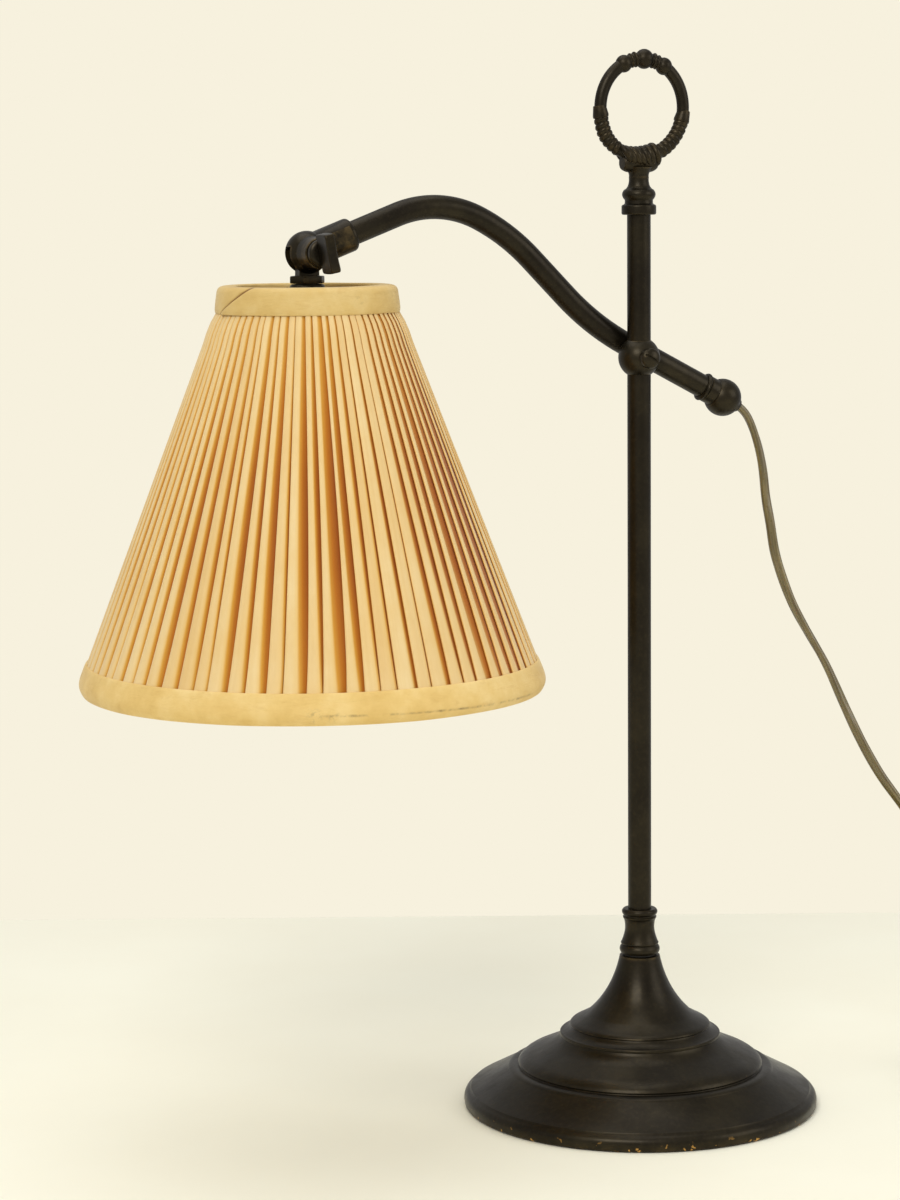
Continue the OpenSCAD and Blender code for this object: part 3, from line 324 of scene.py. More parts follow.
def darkBronze(name, wear=0.5, gloss=0.36, chips=None):
    # satin dark bronze lacquer, browner where it is handled, bright brass where it is chipped
    m = finishMaker(name, Metallic=0.82, Specular_IOR_Level=0.3, Coat_Weight=0.06, Coat_Roughness=0.22)
    cloud = m.noise(38, 5, 0.6)
    colour = m.ramp(cloud, (0.32, linear(33, 28, 20)), (0.5, linear(40, 35, 25)), (0.7, linear(50, 44, 31)))
    mottle = m.noise(420, 3, 0.6)
    colour = m.blend(m.fit(mottle, 0.5, 0.8, 0.0, 0.22), colour, linear(72, 64, 46))
    edge = m.fit(m.node("ShaderNodeNewGeometry").outputs["Pointiness"], 0.515, 0.59)
    rub = m.fit(m.noise(160, 4, 0.65), 0.38, 0.62)
    worn = m.sum(m.sum(edge, rub, "MULTIPLY"), wear, "MULTIPLY")
    colour = m.blend(worn, colour, linear(112, 94, 60))
    if chips:
        spots = m.ramp(m.noise(310, 2, 0.5), (0.66, 0.0), (0.69, 1.0))
        height = m.node("ShaderNodeSeparateXYZ")
        m.wire(m.object, height.inputs[0])
        low = m.fit(height.outputs[2], chips["top"], chips["foot"])
        bare = m.sum(spots, low, "MULTIPLY")
        for point, radius in chips["spots"]:
            bare = m.sum(bare, m.fit(m.near(point, radius), 0.3, 0.45), "MAXIMUM")
        colour = m.blend(bare, colour, linear(206, 158, 84))
    grain = m.noise(900, 3, 0.7)
    rough = m.fit(m.sum(m.noise(70, 4, 0.6), m.sum(grain, 0.35, "MULTIPLY")), 0.35, 0.95, gloss - 0.07, gloss + 0.13)
    normal = m.bump(grain, 0.10, 0.0003, m.bump(m.noise(130, 3, 0.5), 0.10, 0.0012))
    return m.set(Base_Color=colour, Roughness=rough, Normal=normal)


def dullBrass(name, shade=(168, 132, 74), dark=(96, 72, 38)):
    m = finishMaker(name, Metallic=0.95)
    cloud = m.noise(60, 5, 0.6)
    colour = m.ramp(cloud, (0.3, linear(*dark)), (0.55, linear(*shade)), (0.8, linear(*[min(255, s + 22) for s in shade])))
    lines = m.noise(240, 4, 0.6, m.stretch((1, 1, 12)))
    rough = m.fit(lines, 0.3, 0.7, 0.26, 0.46)
    return m.set(Base_Color=colour, Roughness=rough, Normal=m.bump(lines, 0.08, 0.0003))


def plainSteel(name, shade=(150, 148, 142), dark=(104, 100, 92)):
    m = finishMaker(name, Metallic=0.95)
    cloud = m.noise(90, 5, 0.6)
    colour = m.ramp(cloud, (0.35, linear(*dark)), (0.65, linear(*shade)))
    scratch = m.noise(300, 4, 0.7, m.stretch((1, 8, 1)))
    return m.set(Base_Color=colour, Roughness=m.fit(scratch, 0.3, 0.7, 0.3, 0.5),
                 Normal=m.bump(scratch, 0.10, 0.0003))


def castIron(name):
    m = finishMaker(name, Metallic=0.6, Roughness=0.7)
    cloud = m.noise(45, 6, 0.65)
    colour = m.ramp(cloud, (0.35, linear(40, 39, 39)), (0.6, linear(62, 58, 54)), (0.72, linear(92, 66, 48)))
    pits = m.noise(520, 5, 0.75)
    return m.set(Base_Color=colour, Roughness=m.fit(pits, 0.3, 0.7, 0.6, 0.85),
                 Normal=m.bump(pits, 0.5, 0.0006))


def greenFelt(name):
    m = finishMaker(name, Roughness=0.95, Sheen_Weight=0.4, Sheen_Roughness=0.5)
    fibres = m.noise(900, 6, 0.8, distortion=1.5)
    colour = m.ramp(fibres, (0.3, linear(28, 46, 32)), (0.55, linear(42, 66, 46)), (0.8, linear(74, 94, 70)))
    colour = m.blend(m.fit(m.noise(30, 4), 0.5, 0.75, 0, 0.5), colour, linear(70, 66, 48))
    return m.set(Base_Color=colour, Normal=m.bump(fibres, 0.7, 0.0008))


def darkPlastic(name, shade=(34, 30, 27), light=(58, 50, 43), gloss=0.38, grain=600):
    m = finishMaker(name, Specular_IOR_Level=0.45)
    cloud = m.noise(80, 4, 0.6)
    colour = m.ramp(cloud, (0.35, linear(*shade)), (0.7, linear(*light)))
    speck = m.noise(grain, 3, 0.6)
    return m.set(Base_Color=colour, Roughness=m.fit(speck, 0.3, 0.7, gloss - 0.06, gloss + 0.12),
                 Normal=m.bump(speck, 0.12, 0.0003))


def porcelain(name):
    m = finishMaker(name, Coat_Weight=0.6, Coat_Roughness=0.08)
    cloud = m.noise(120, 5, 0.6)
    colour = m.ramp(cloud, (0.3, linear(206, 198, 180)), (0.6, linear(234, 229, 216)))
    return m.set(Base_Color=colour, Roughness=m.fit(cloud, 0.3, 0.7, 0.2, 0.35),
                 Normal=m.bump(m.noise(300, 3), 0.06, 0.0004))


def opalGlass(name):
    m = finishMaker(name, Coat_Weight=0.5, Coat_Roughness=0.04, Subsurface_Weight=0.25, Subsurface_Scale=0.004)
    cloud = m.noise(40, 3, 0.5)
    colour = m.ramp(cloud, (0.35, linear(228, 222, 206)), (0.7, linear(242, 239, 230)))
    dust = m.noise(260, 5, 0.7)
    return m.set(Base_Color=colour, Roughness=m.fit(dust, 0.35, 0.75, 0.12, 0.3),
                 Normal=m.bump(dust, 0.03, 0.0003))


def clearCordSkin(name):
    # half clear olive gold plastic over twisted copper strands
    m = finishMaker(name, Specular_IOR_Level=0.55, Coat_Weight=0.5, Coat_Roughness=0.16,
                    Subsurface_Weight=0.12, Subsurface_Scale=0.0015)
    strand = m.node("ShaderNodeAttribute", attribute_name="cordRun").outputs["Vector"]
    twist = m.noise(1.0, 3, 0.6, m.stretch((11, 46, 1), strand))
    cloud = m.noise(42, 4, 0.6)
    colour = m.ramp(twist, (0.34, linear(84, 71, 38)), (0.52, linear(108, 94, 54)), (0.7, linear(130, 115, 72)))
    colour = m.blend(m.fit(cloud, 0.4, 0.7, 0, 0.4), colour, linear(88, 73, 36))
    return m.set(Base_Color=colour, Roughness=m.fit(m.noise(500, 3), 0.3, 0.7, 0.24, 0.42),
                 Normal=m.bump(twist, 0.15, 0.0003))


def weaveOf(m, count, source):
    # threads both ways, in the piece's own UV map, measured in metres
    return m.sum(m.waves(count, source, "X"), m.waves(count, source, "Y"), "ADD")


def pleatCloth(name):
    m = finishMaker(name, Sheen_Weight=0.22, Sheen_Roughness=0.4, Specular_IOR_Level=0.3)
    # fold carries painted shadow: 0 on the lit strips, 1 deep in the shaded valleys and beneath the strip edges
    fold = m.node("ShaderNodeAttribute", attribute_name="foldShadow").outputs["Fac"]
    uv = m.node("ShaderNodeUVMap", uv_map="weave").outputs[0]
    cloud = m.noise(30, 5, 0.6)
    streak = m.noise(1.0, 4, 0.6, m.stretch((420, 14, 1), uv))
    flat = m.blend(m.fit(cloud, 0.35, 0.7), linear(234, 209, 156), linear(228, 196, 136))
    flat = m.blend(m.fit(streak, 0.42, 0.75, 0.0, 0.3), flat, linear(214, 176, 104))
    tone = m.node("ShaderNodeAttribute", attribute_name="stripTone").outputs["Fac"]
    flat = m.blend(m.sum(tone, 0.42, "MULTIPLY"), flat, linear(216, 176, 110))
    # deep is the painted shadow colour of the valleys, from pale gold to deep orange brown
    deep = m.ramp(fold, (0.0, linear(240, 212, 156)), (0.2, linear(230, 192, 118)), (0.45, linear(208, 150, 54)),
                  (0.75, linear(178, 104, 12)), (1.0, linear(146, 68, 1)))
    colour = m.blend(m.fit(fold, 0.02, 0.35), flat, deep)
    weave = weaveOf(m, 1 / 0.00042 / turn * 3.2, uv)
    colour = m.blend(m.fit(weave, 0.2, 1.8, 0.10, 0.0), colour, linear(182, 140, 76))
    return m.set(Base_Color=colour, Roughness=m.fit(streak, 0.3, 0.7, 0.72, 0.9),
                 Normal=m.bump(weave, 0.16, 0.00012, m.bump(streak, 0.2, 0.0004)))


def bandCloth(name, smudges, line=None, tone=1.0):
    m = finishMaker(name, Sheen_Weight=0.18, Sheen_Roughness=0.4, Specular_IOR_Level=0.3)
    cloud = m.noise(48, 5, 0.6)
    colour = m.ramp(cloud, (0.32, linear(216 * tone, 180 * tone, 106 * tone)),
                    (0.52, linear(226 * tone, 193 * tone, 122 * tone)), (0.72, linear(234 * tone, 206 * tone, 142 * tone)))
    crease = m.noise(70, 5, 0.65, m.stretch((1, 1, 3.2)), distortion=0.6)
    colour = m.blend(m.fit(crease, 0.58, 0.8, 0, 0.35), colour, linear(190, 146, 74))
    grey = None
    for point, radius, strength in smudges:
        patch = m.sum(m.fit(m.near(point, radius), 0.1, 0.9), m.fit(m.noise(420, 5, 0.7), 0.5, 0.68), "MULTIPLY")
        patch = m.sum(patch, strength, "MULTIPLY")
        grey = patch if grey is None else m.sum(grey, patch, "MAXIMUM")
    if grey is not None:
        colour = m.blend(grey, colour, linear(112, 92, 66))
    if line:
        # a thin darker line that sinks towards +X on the side that faces the front
        spot = m.node("ShaderNodeSeparateXYZ")
        m.wire(m.object, spot.inputs[0])
        height = m.sum(m.sum(spot.outputs[0], line["slope"], "MULTIPLY"), line["height"])
        off = m.sum(m.sum(spot.outputs[2], height, "SUBTRACT"), 0.0, "ABSOLUTE")
        lineMark = m.sum(m.fit(off, 0.0, line["wide"], 1.0, 0.0), m.fit(m.noise(75, 4, 0.7), 0.42, 0.6), "MULTIPLY")
        for socket, low, high in ((1, line["front"], line["front"] - 0.01), (0, line["from"], line["from"] + 0.012),
                                  (0, line["to"], line["to"] - 0.03)):
            lineMark = m.sum(lineMark, m.fit(spot.outputs[socket], low, high), "MULTIPLY")
        colour = m.blend(m.sum(lineMark, 0.85, "MULTIPLY"), colour, linear(120, 98, 64))
    # the seam attribute is a painted shadow line along the lapped seam, darkened towards brown
    seam = m.node("ShaderNodeAttribute", attribute_name="seam").outputs["Fac"]
    colour = m.blend(m.sum(seam, 0.95, "MULTIPLY"), colour, linear(122, 82, 32))
    threads = m.sum(m.noise(1500, 2, 0.6, m.stretch((1, 1, 0.15))), m.noise(1500, 2, 0.6, m.stretch((0.2, 0.2, 1))), "ADD")
    return m.set(Base_Color=colour, Roughness=m.fit(cloud, 0.3, 0.7, 0.74, 0.88),
                 Normal=m.bump(threads, 0.22, 0.00015, m.bump(crease, 0.5, 0.0012)))


def liningSheet(name):
    m = finishMaker(name, Specular_IOR_Level=0.4)
    cloud = m.noise(18, 5, 0.6)
    colour = m.ramp(cloud, (0.3, linear(224, 198, 146)), (0.55, linear(236, 216, 170)), (0.8, linear(242, 228, 192)))
    return m.set(Base_Color=colour, Roughness=m.fit(m.noise(300, 4), 0.3, 0.7, 0.5, 0.7),
                 Normal=m.bump(m.noise(220, 4), 0.12, 0.0006))


bronze = darkBronze("darkBronze", wear=0.28)
bronzeTube = darkBronze("darkBronzeTube", wear=0.0, gloss=0.35)
bronzeWorn = darkBronze("darkBronzeHandled", wear=0.42, gloss=0.33)
bronzeCast = darkBronze("darkBronzeFoot", wear=0.45, gloss=0.34, chips={
    "top": 0.006, "foot": 0.001, "spots": [((-0.0455, -0.0545, 0.0352), 0.0016)]})
brass = dullBrass("dullBrass")
steel = plainSteel("plainSteel")
iron = castIron("castIron")
felt = greenFelt("greenFelt")
fibre = darkPlastic("blackFibre", (18, 17, 16), (34, 31, 29), 0.6)
rubber = darkPlastic("bushRubber", (26, 25, 24), (46, 42, 38), 0.55)
plugPlastic = darkPlastic("plugPlastic", (36, 29, 24), (58, 47, 38), 0.3)
tiePlastic = darkPlastic("tiePlastic", (18, 18, 18), (34, 34, 34), 0.42)
china = porcelain("holderChina")
capAlloy = plainSteel("bulbCapAlloy", (196, 190, 176), (150, 144, 130))
opal = opalGlass("opalGlass")
cordSkin = clearCordSkin("cordSkin")
pleatFinish = pleatCloth("pleatCloth")
liningFinish = liningSheet("liningSheet")
print("materials made")


# camera at the photograph's place

view = dict(place=(-0.79933, -1.56877, 0.50746), turnedBy=(82.6662, 0.4904, -23.7153), lens=97.887)
deselectAll()
bpy.ops.object.camera_add(location=view["place"], rotation=[math.radians(a) for a in view["turnedBy"]])
bpy.context.object.name = "photoCamera"
bpy.context.object.data.lens = view["lens"]
bpy.context.scene.camera = bpy.context.object
print("camera in place")


# cord: out of the arm's end, down beside the foot, into a neat coil that ends in the plug

cord = dict(width=5.4, thick=4.2, twistEvery=260, length=1.8, step=3.0,
            coil=(212, -46), layers=(3.2, 8.6, 14.0), rings=(24.6, 30.0, 35.4),
            route=[(68.086, 13.3, 382.531), (70.481, 13.3, 381.285), (75, 13, 374.6), (80, 12, 360), (82, 10, 346), (83, 9, 332),
                   (85, 7, 317), (87, 6, 302), (91, 4, 287), (96, 1, 272), (103, -3, 257),
                   (112, -8, 239), (120, -14, 217), (128, -20, 196), (137, -26, 177), (147, -30, 162),
                   (158, -33, 145), (169, -34, 124), (178, -33, 101), (185, -30, 77), (190, -26, 54),
                   (196, -21, 35), (204, -17.5, 24), (214, -15.6, 19.5)])


def smoothRun(points, count):
    run = []
    for i in range(len(points) - 1):
        a, b, c, d = (Vector(points[max(0, min(len(points) - 1, i + k))]) for k in (-1, 0, 1, 2))
        for t in (k / count for k in range(count)):
            run.append(0.5 * (2 * b + (c - a) * t + (2 * a - 5 * b + 4 * c - d) * t * t
                              + (3 * b - a - 3 * c + d) * t ** 3))
    return run + [Vector(points[-1])]


def coilRun():
    # (angle, radius, height) at the places where the cord changes its ring or its layer
    low, middle, top = cord["layers"]
    inner, centre, outer = cord["rings"]
    marks = [(86.2, 30.5, 19.5), (40, centre, 18.4), (0, centre, 15.4), (-40, centre, top),
             (-210, centre, top), (-270, outer, top), (-450, outer, top), (-510, outer, middle),
             (-760, outer, middle), (-820, centre, middle), (-1120, centre, middle),
             (-1180, inner, middle), (-1420, inner, middle), (-1480, inner, low),
             (-1720, inner, low), (-1780, centre, low), (-2080, centre, low), (-2140, outer, low),
             (-2370, outer, low), (-2430, outer, 6.2)]
    run = []
    for (a, ra, za), (b, rb, zb) in zip(marks, marks[1:]):
        count = max(2, round((a - b) / 6))
        for i in range(count):
            t = i / count
            ease = t * t * (3 - 2 * t)
            angle = math.radians(a + (b - a) * t)
            radius = ra + (rb - ra) * ease
            run.append(Vector((cord["coil"][0] + radius * math.cos(angle),
                               cord["coil"][1] + radius * math.sin(angle), za + (zb - za) * ease)))
    return run + [Vector((212, -10.6, 6.3)), Vector((218, -10.6, 6.8)), Vector((226, -10.6, 6.95))]


def evenRun(points, step):
    # the same line with its points one step apart
    run, left = [points[0]], step
    for a, b in zip(points, points[1:]):
        length = (b - a).length
        at = left
        while at <= length:
            run.append(a.lerp(b, at / length))
            at += step
        left = at - length
    if (run[-1] - points[-1]).length > step / 2:
        run.append(points[-1])
    return run


def makeCord():
    points = evenRun(smoothRun(cord["route"], 10)[:-1] + coilRun(), cord["step"])
    # eased over its neighbours, so that no kink is left where two stretches meet
    for _ in range(3):
        points = [points[0]] + [(a + 2 * b + c) / 4 for a, b, c in zip(points, points[1:], points[2:])] + [points[-1]]
    lobe = cord["thick"] / 2
    apart = cord["width"] / 2 - lobe
    section = []
    for side in (1, -1):
        for k in range(9):
            a = math.radians(-112 + 28 * k) if side > 0 else math.radians(68 + 28 * k)
            section.append(Vector((side * apart + lobe * math.cos(a), lobe * math.sin(a))))
    count = len(section)
    corners, faces, runs = [], [], []
    side = Vector((0, 1, 0))
    gone = 0.0
    for i, point in enumerate(points):
        along = (points[min(i + 1, len(points) - 1)] - points[max(i - 1, 0)]).normalized()
        side = (side - along * side.dot(along)).normalized()
        other = along.cross(side)
        gone += (point - points[max(i - 1, 0)]).length
        spin = turn * gone / cord["twistEvery"]
        for k, (x, y) in enumerate(section):
            u = x * math.cos(spin) - y * math.sin(spin)
            v = x * math.sin(spin) + y * math.cos(spin)
            corners.append((point + side * u + other * v) * mm)
            runs.append((k / count, gone * mm, 0.0))
    for i in range(len(points) - 1):
        for k in range(count):
            n = (k + 1) % count
            faces.append((i * count + k, i * count + n, (i + 1) * count + n, (i + 1) * count + k))
    faces.append(tuple(range(count - 1, -1, -1)))
    faces.append(tuple((len(points) - 1) * count + k for k in range(count)))
    mesh = bpy.data.meshes.new("flatCord")
    mesh.from_pydata(corners, [], faces)
    run = mesh.attributes.new("cordRun", "FLOAT_VECTOR", "POINT")
    run.data.foreach_set("vector", [c for r in runs for c in r])
    piece = bpy.data.objects.new("flatCord", mesh)
    bpy.context.collection.objects.link(piece)
    makeActive(piece)
    bpy.ops.object.mode_set(mode="EDIT")
    bpy.ops.mesh.select_all(action="SELECT")
    bpy.ops.mesh.normals_make_consistent(inside=False)
    bpy.ops.object.mode_set(mode="OBJECT")
    bpy.ops.object.shade_smooth_by_angle(angle=math.radians(50))
    print("cord length", round(gone), "mm")
    return piece, points


flatCord, cordLine = makeCord()


# plug: flat body with ribbed sides, tapered tail, two round pins

plug = dict(y=-10.6, z=6.95, tail=224, body=250, length=36, width=35.3, thick=13.7, pins=18.6)


def makePlug():
    w = plug["width"] / 2
    left = [(0, 8), *bow((1, 10.4), (3, 12), (6, 12.6), 4), *bow((20, 15.8), (27, 17.4), (31, w), 5),
            *bow((34.6, w), (36, w), (36, w - 1.6), 3)]
    outline = left + [(x, -y) for x, y in reversed(left)]
    place = placeAt(plug["body"], plug["y"], plug["z"] - plug["thick"] / 2)
    body = cutShape("plugBody", outline, place, plug["thick"])
    softenEdges(body, 3.0, 5, 40)
    grooves = []
    for side in (-1, 1):
        for i in range(5):
            groove = rod("plugGroove", placeAt(plug["body"] + 11 + i * 3.1, plug["y"] + side * (15.7 + i * 0.62), 0),
                         0.75, -1, 16, 16)
            grooves.append(groove)
    cutOut(body, *grooves)
    bpy.ops.object.shade_smooth_by_angle(angle=math.radians(38))
    tail = [(0, 0), (3.4, 0), (3.7, 0.6)]
    for i in range(6):                     # ribs of the strain relief
        at, r = 2 + i * 3.8, 3.9 + i * 0.28
        tail += [(r, at), (r, at + 2.2), (r - 0.7, at + 2.6), (r - 0.7, at + 3.5)]
    tail += [(5.6, 25.2), (6.2, 27.4), (0, 27.4)]
    relief = turned("plugTail", tail, placeAt(plug["tail"], plug["y"], plug["z"], 90), 40, 30)
    piece = joinAll("plugWithTail", [body, relief])
    finishPiece(piece, "post", plugPlastic, "plug", "plug_body")
    pins = []
    for side in (-1, 1):
        line = [(0, 0), (2, 0), (2, 17.6), *bow((2, 17.6), (1.9, 18.8), (1, 19), 4), (0, 19)]
        pins.append(turned("plugPin", line, placeAt(plug["body"] + plug["length"], plug["y"] + side * plug["pins"] / 2,
                                                    plug["z"], 90), 32))
    pinPair = joinAll("plugPinPair", pins)
    finishPiece(pinPair, "post", brass, "brass", "plug_pins")
    return piece, pinPair


def makeTie():
    # a strap round the coil's bundle
    deselectAll()
    bpy.ops.mesh.primitive_cube_add(size=1, location=(0.212, -0.076, 0.0086))
    strap = bpy.context.object
    strap.name = "coilTie"
    strap.scale = (0.006, 0.0164, 0.0164)
    bpy.ops.object.transform_apply(location=True, rotation=True, scale=True)
    bpy.ops.object.mode_set(mode="EDIT")
    bpy.ops.mesh.select_mode(type="FACE")
    bpy.ops.object.mode_set(mode="OBJECT")
    for face in strap.data.polygons:
        face.select = abs(face.normal.x) > 0.9
    bpy.ops.object.mode_set(mode="EDIT")
    bpy.ops.mesh.delete(type="ONLY_FACE")
    bpy.ops.mesh.select_all(action="SELECT")
    bpy.ops.mesh.select_mode(type="EDGE")
    bpy.ops.object.mode_set(mode="OBJECT")
    for edge in strap.data.edges:
        a, b = (strap.data.vertices[v].co for v in edge.vertices)
        edge.select = abs(a.x - b.x) > 0.003
    bpy.ops.object.mode_set(mode="EDIT")
    bpy.ops.mesh.bevel(offset=0.003, segments=5, affect="EDGES")
    bpy.ops.object.mode_set(mode="OBJECT")
    bpy.ops.object.modifier_add(type="SOLIDIFY")
    strap.modifiers[-1].thickness = 0.00034
    strap.modifiers[-1].offset = 1
    bpy.ops.object.modifier_apply(modifier=strap.modifiers[-1].name)
    buckle = cutShape("tieBuckle", [(-4, -3), (4, -3), (4, 3), (-4, 3)], placeAt(212, -76, 17.2), 0.8)
    bpy.ops.object.shade_smooth_by_angle(angle=math.radians(35))
    softenEdges(buckle, 0.25)
    piece = joinAll("coilTie", [strap, buckle])
    finishPiece(piece, "post", tiePlastic, "tie", "cord_tie")
    return piece


plugBody, plugPins = makePlug()
coilTie = makeTie()
finishPiece(flatCord, None, cordSkin, "cord", "cord_drop", "cord_coil")
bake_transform(flatCord)
print("cord, coil and plug made")


# foot: a spun shell in tiers over its weight

foot = dict(rim=97.4, step=73.0, stepHeight=20.9, shoulder=67.25, shoulderHeight=23.8, cove=44.1,
            coveHeight=41.0, lip=38.6, lipHeight=45.6, bell=11.0, height=83.6, wall=2.4)


def footLine(inset=0.0):
    bell, lip, cove, shoulder, step, rim = (foot[key] for key in ("bell", "lip", "cove", "shoulder", "step", "rim"))
    lipAt, coveAt, shoulderAt, stepAt = (foot[key + "Height"] for key in ("lip", "cove", "shoulder", "step"))
    line = bow((bell, foot["height"]), (bell + 4.3, lipAt + 17.4), (lip - 9.1, lipAt + 5.2), 28)
    line += bow((lip - 3.1, lipAt + 2), (lip - 0.4, lipAt + 0.8), (lip, lipAt - 0.4), 6)
    line += [(lip - 0.3, lipAt - 0.9)]
    line += bow((lip - 0.4, lipAt - 1.1), (lip + 0.6, coveAt + 1.4), (cove - 1.1, coveAt), 8)
    line += bow((cove - 0.6, coveAt), (cove + 0.1, coveAt - 0.2), (cove, coveAt - 1.4), 5)
    line += bow((cove - 0.1, coveAt - 1.8), (cove + 1.1, coveAt - 4.8), (cove + 6.9, coveAt - 7.6), 10)
    line += bow((shoulder - 6.7, shoulderAt + 5.4), (shoulder - 1, shoulderAt + 3), (shoulder, shoulderAt), 10)
    line += [(shoulder - 0.3, shoulderAt - 0.8)]
    line += bow((shoulder, shoulderAt - 1.2), (step - 1.2, stepAt + 1.9), (step, stepAt), 8)
    line += [(step + 0.3, stepAt - 0.4), (rim - 5.9, 10.8), (rim - 4, 9.8)]
    line += bow((rim - 3.2, 8.6), (rim, 7), (rim - 0.1, 3.6), 8)
    line += [(rim - 0.4, 1.2)]
    return [(r - inset, h - inset * 0.8) for r, h in line]


def makeFoot():
    outer = footLine()
    inner = [p for p in footLine(foot["wall"]) if 1 < p[1] < foot["height"] - 4]
    line = [(7.2, foot["height"] - 4), (7.2, foot["height"])] + outer
    line += [(foot["rim"] - 1, 0.4), (foot["rim"] - foot["wall"], 0.4)] + list(reversed(inner))
    line += [(foot["bell"] - 1.4, foot["height"] - 4), (7.2, foot["height"] - 4)]
    shell = turned("footShell", line, placeAt(0, 0, 0), 192, 28)
    finishPiece(shell, "base", bronzeCast, "bronze", "base_shell")


makeFoot()
print("foot made")


# post with its ferrule below and the finial above

post = dict(radius=6.35, low=96.7, high=499.7, wall=1.2, ferrule=84.9, socket=488.2)


def makePost():
    r = post["radius"]
    tube = turned("postTube", [(r - post["wall"], post["low"]), (r, post["low"]), (r, post["high"]),
                               (r - post["wall"], post["high"]), (r - post["wall"], post["low"])],
                  placeAt(0, 0, 0), 96)
    finishPiece(tube, "post", bronzeTube, "bronze", "post_tube")
    line = [(5.05, 11.8), (5.05, 0), *bow((10.2, 0), (11.9, 2.2), (10.2, 4.4), 10),
            *bow((9.8, 4.9), (10.8, 5.7), (10.0, 6.4), 6), *bow((9.9, 6.6), (8.05, 11.2), (8.05, 14.4), 10),
            *bow((8.05, 15.4), (8.25, 18.8), (9.2, 19.8), 8), (9.2, 20.4), (8.7, 20.7), (8.7, 21.3),
            *bow((9.1, 21.5), (10.6, 23.4), (8.8, 24.8), 8), (6.4, 24.8), (6.4, 11.8), (5.05, 11.8)]
    ferrule = turned("neckFerrule", line, placeAt(0, 0, post["ferrule"]), 96, 30)
    finishPiece(ferrule, "post", bronze, "bronze", "neck_ferrule")
    washer = turned("neckWasher", [(5.05, 0), (9.1, 0), (9.3, 0.2), (9.3, 0.8), (9.1, 1), (5.05, 1), (5.05, 0)],
                    placeAt(0, 0, 83.9), 72)
    finishPiece(washer, "post", fibre, "fibre", "neck_washer")
    line = [(0, 11.5), (6.4, 11.5), (6.4, 0), *bow((8.4, 0), (9.3, 0.1), (9.3, 1.2), 5),
            *bow((9.3, 4.2), (9.3, 5.3), (8.3, 5.4), 5), (7.6, 6), (7.5, 7.6),
            *bow((7.7, 8), (10.2, 10.8), (7.8, 13.4), 10), *bow((7.3, 13.6), (5.3, 15), (5.3, 19), 10),
            (5.4, 20), (0, 20)]
    socket = turned("finialSocket", line, placeAt(0, 0, post["socket"]), 96, 30)
    finishPiece(socket, "post", bronze, "bronze", "finial_socket")


makePost()


# ring handle: plain bar above, two twisted strands below, tied in a knot on the neck

ring = dict(middle=544.9, radius=24.6, bar=3.3, ropeFrom=104, limbWraps=7, limbEvery=6.9, limbRadius=1.9,
            limbWire=2.1, limbLean=26, knotWraps=7, wrapEvery=2.9, wrapLean=24, wrapRadius=4.6, wrapWire=2.05,
            knotDrop=2.3, leans=3.0, taller=1.045, shift=0.6, sag=1.5)


def onRing(angle):
    # a place on the ring's bar, its Z along the bar, the angle from the top
    return (placeAt(0, 0, ring["middle"]) @ Matrix.Rotation(math.radians(angle), 4, "Y")
            @ Matrix.Translation((0, 0, ring["radius"])) @ Matrix.Rotation(math.radians(90), 4, "Y"))


def wrapAt(place, radius, wire, segments=(32, 10)):
    # one turn of wire round a place's Z
    deselectAll()
    bpy.ops.mesh.primitive_torus_add(major_segments=segments[0], minor_segments=segments[1],
                                     major_radius=radius * mm, minor_radius=wire * mm)
    wrap = bpy.context.object
    wrap.matrix_world = Matrix.Translation(place.translation * mm) @ place.to_3x3().to_4x4()
    bpy.ops.object.transform_apply(location=True, rotation=True, scale=True)
    bpy.ops.object.shade_smooth_by_angle(angle=math.radians(60))
    return wrap


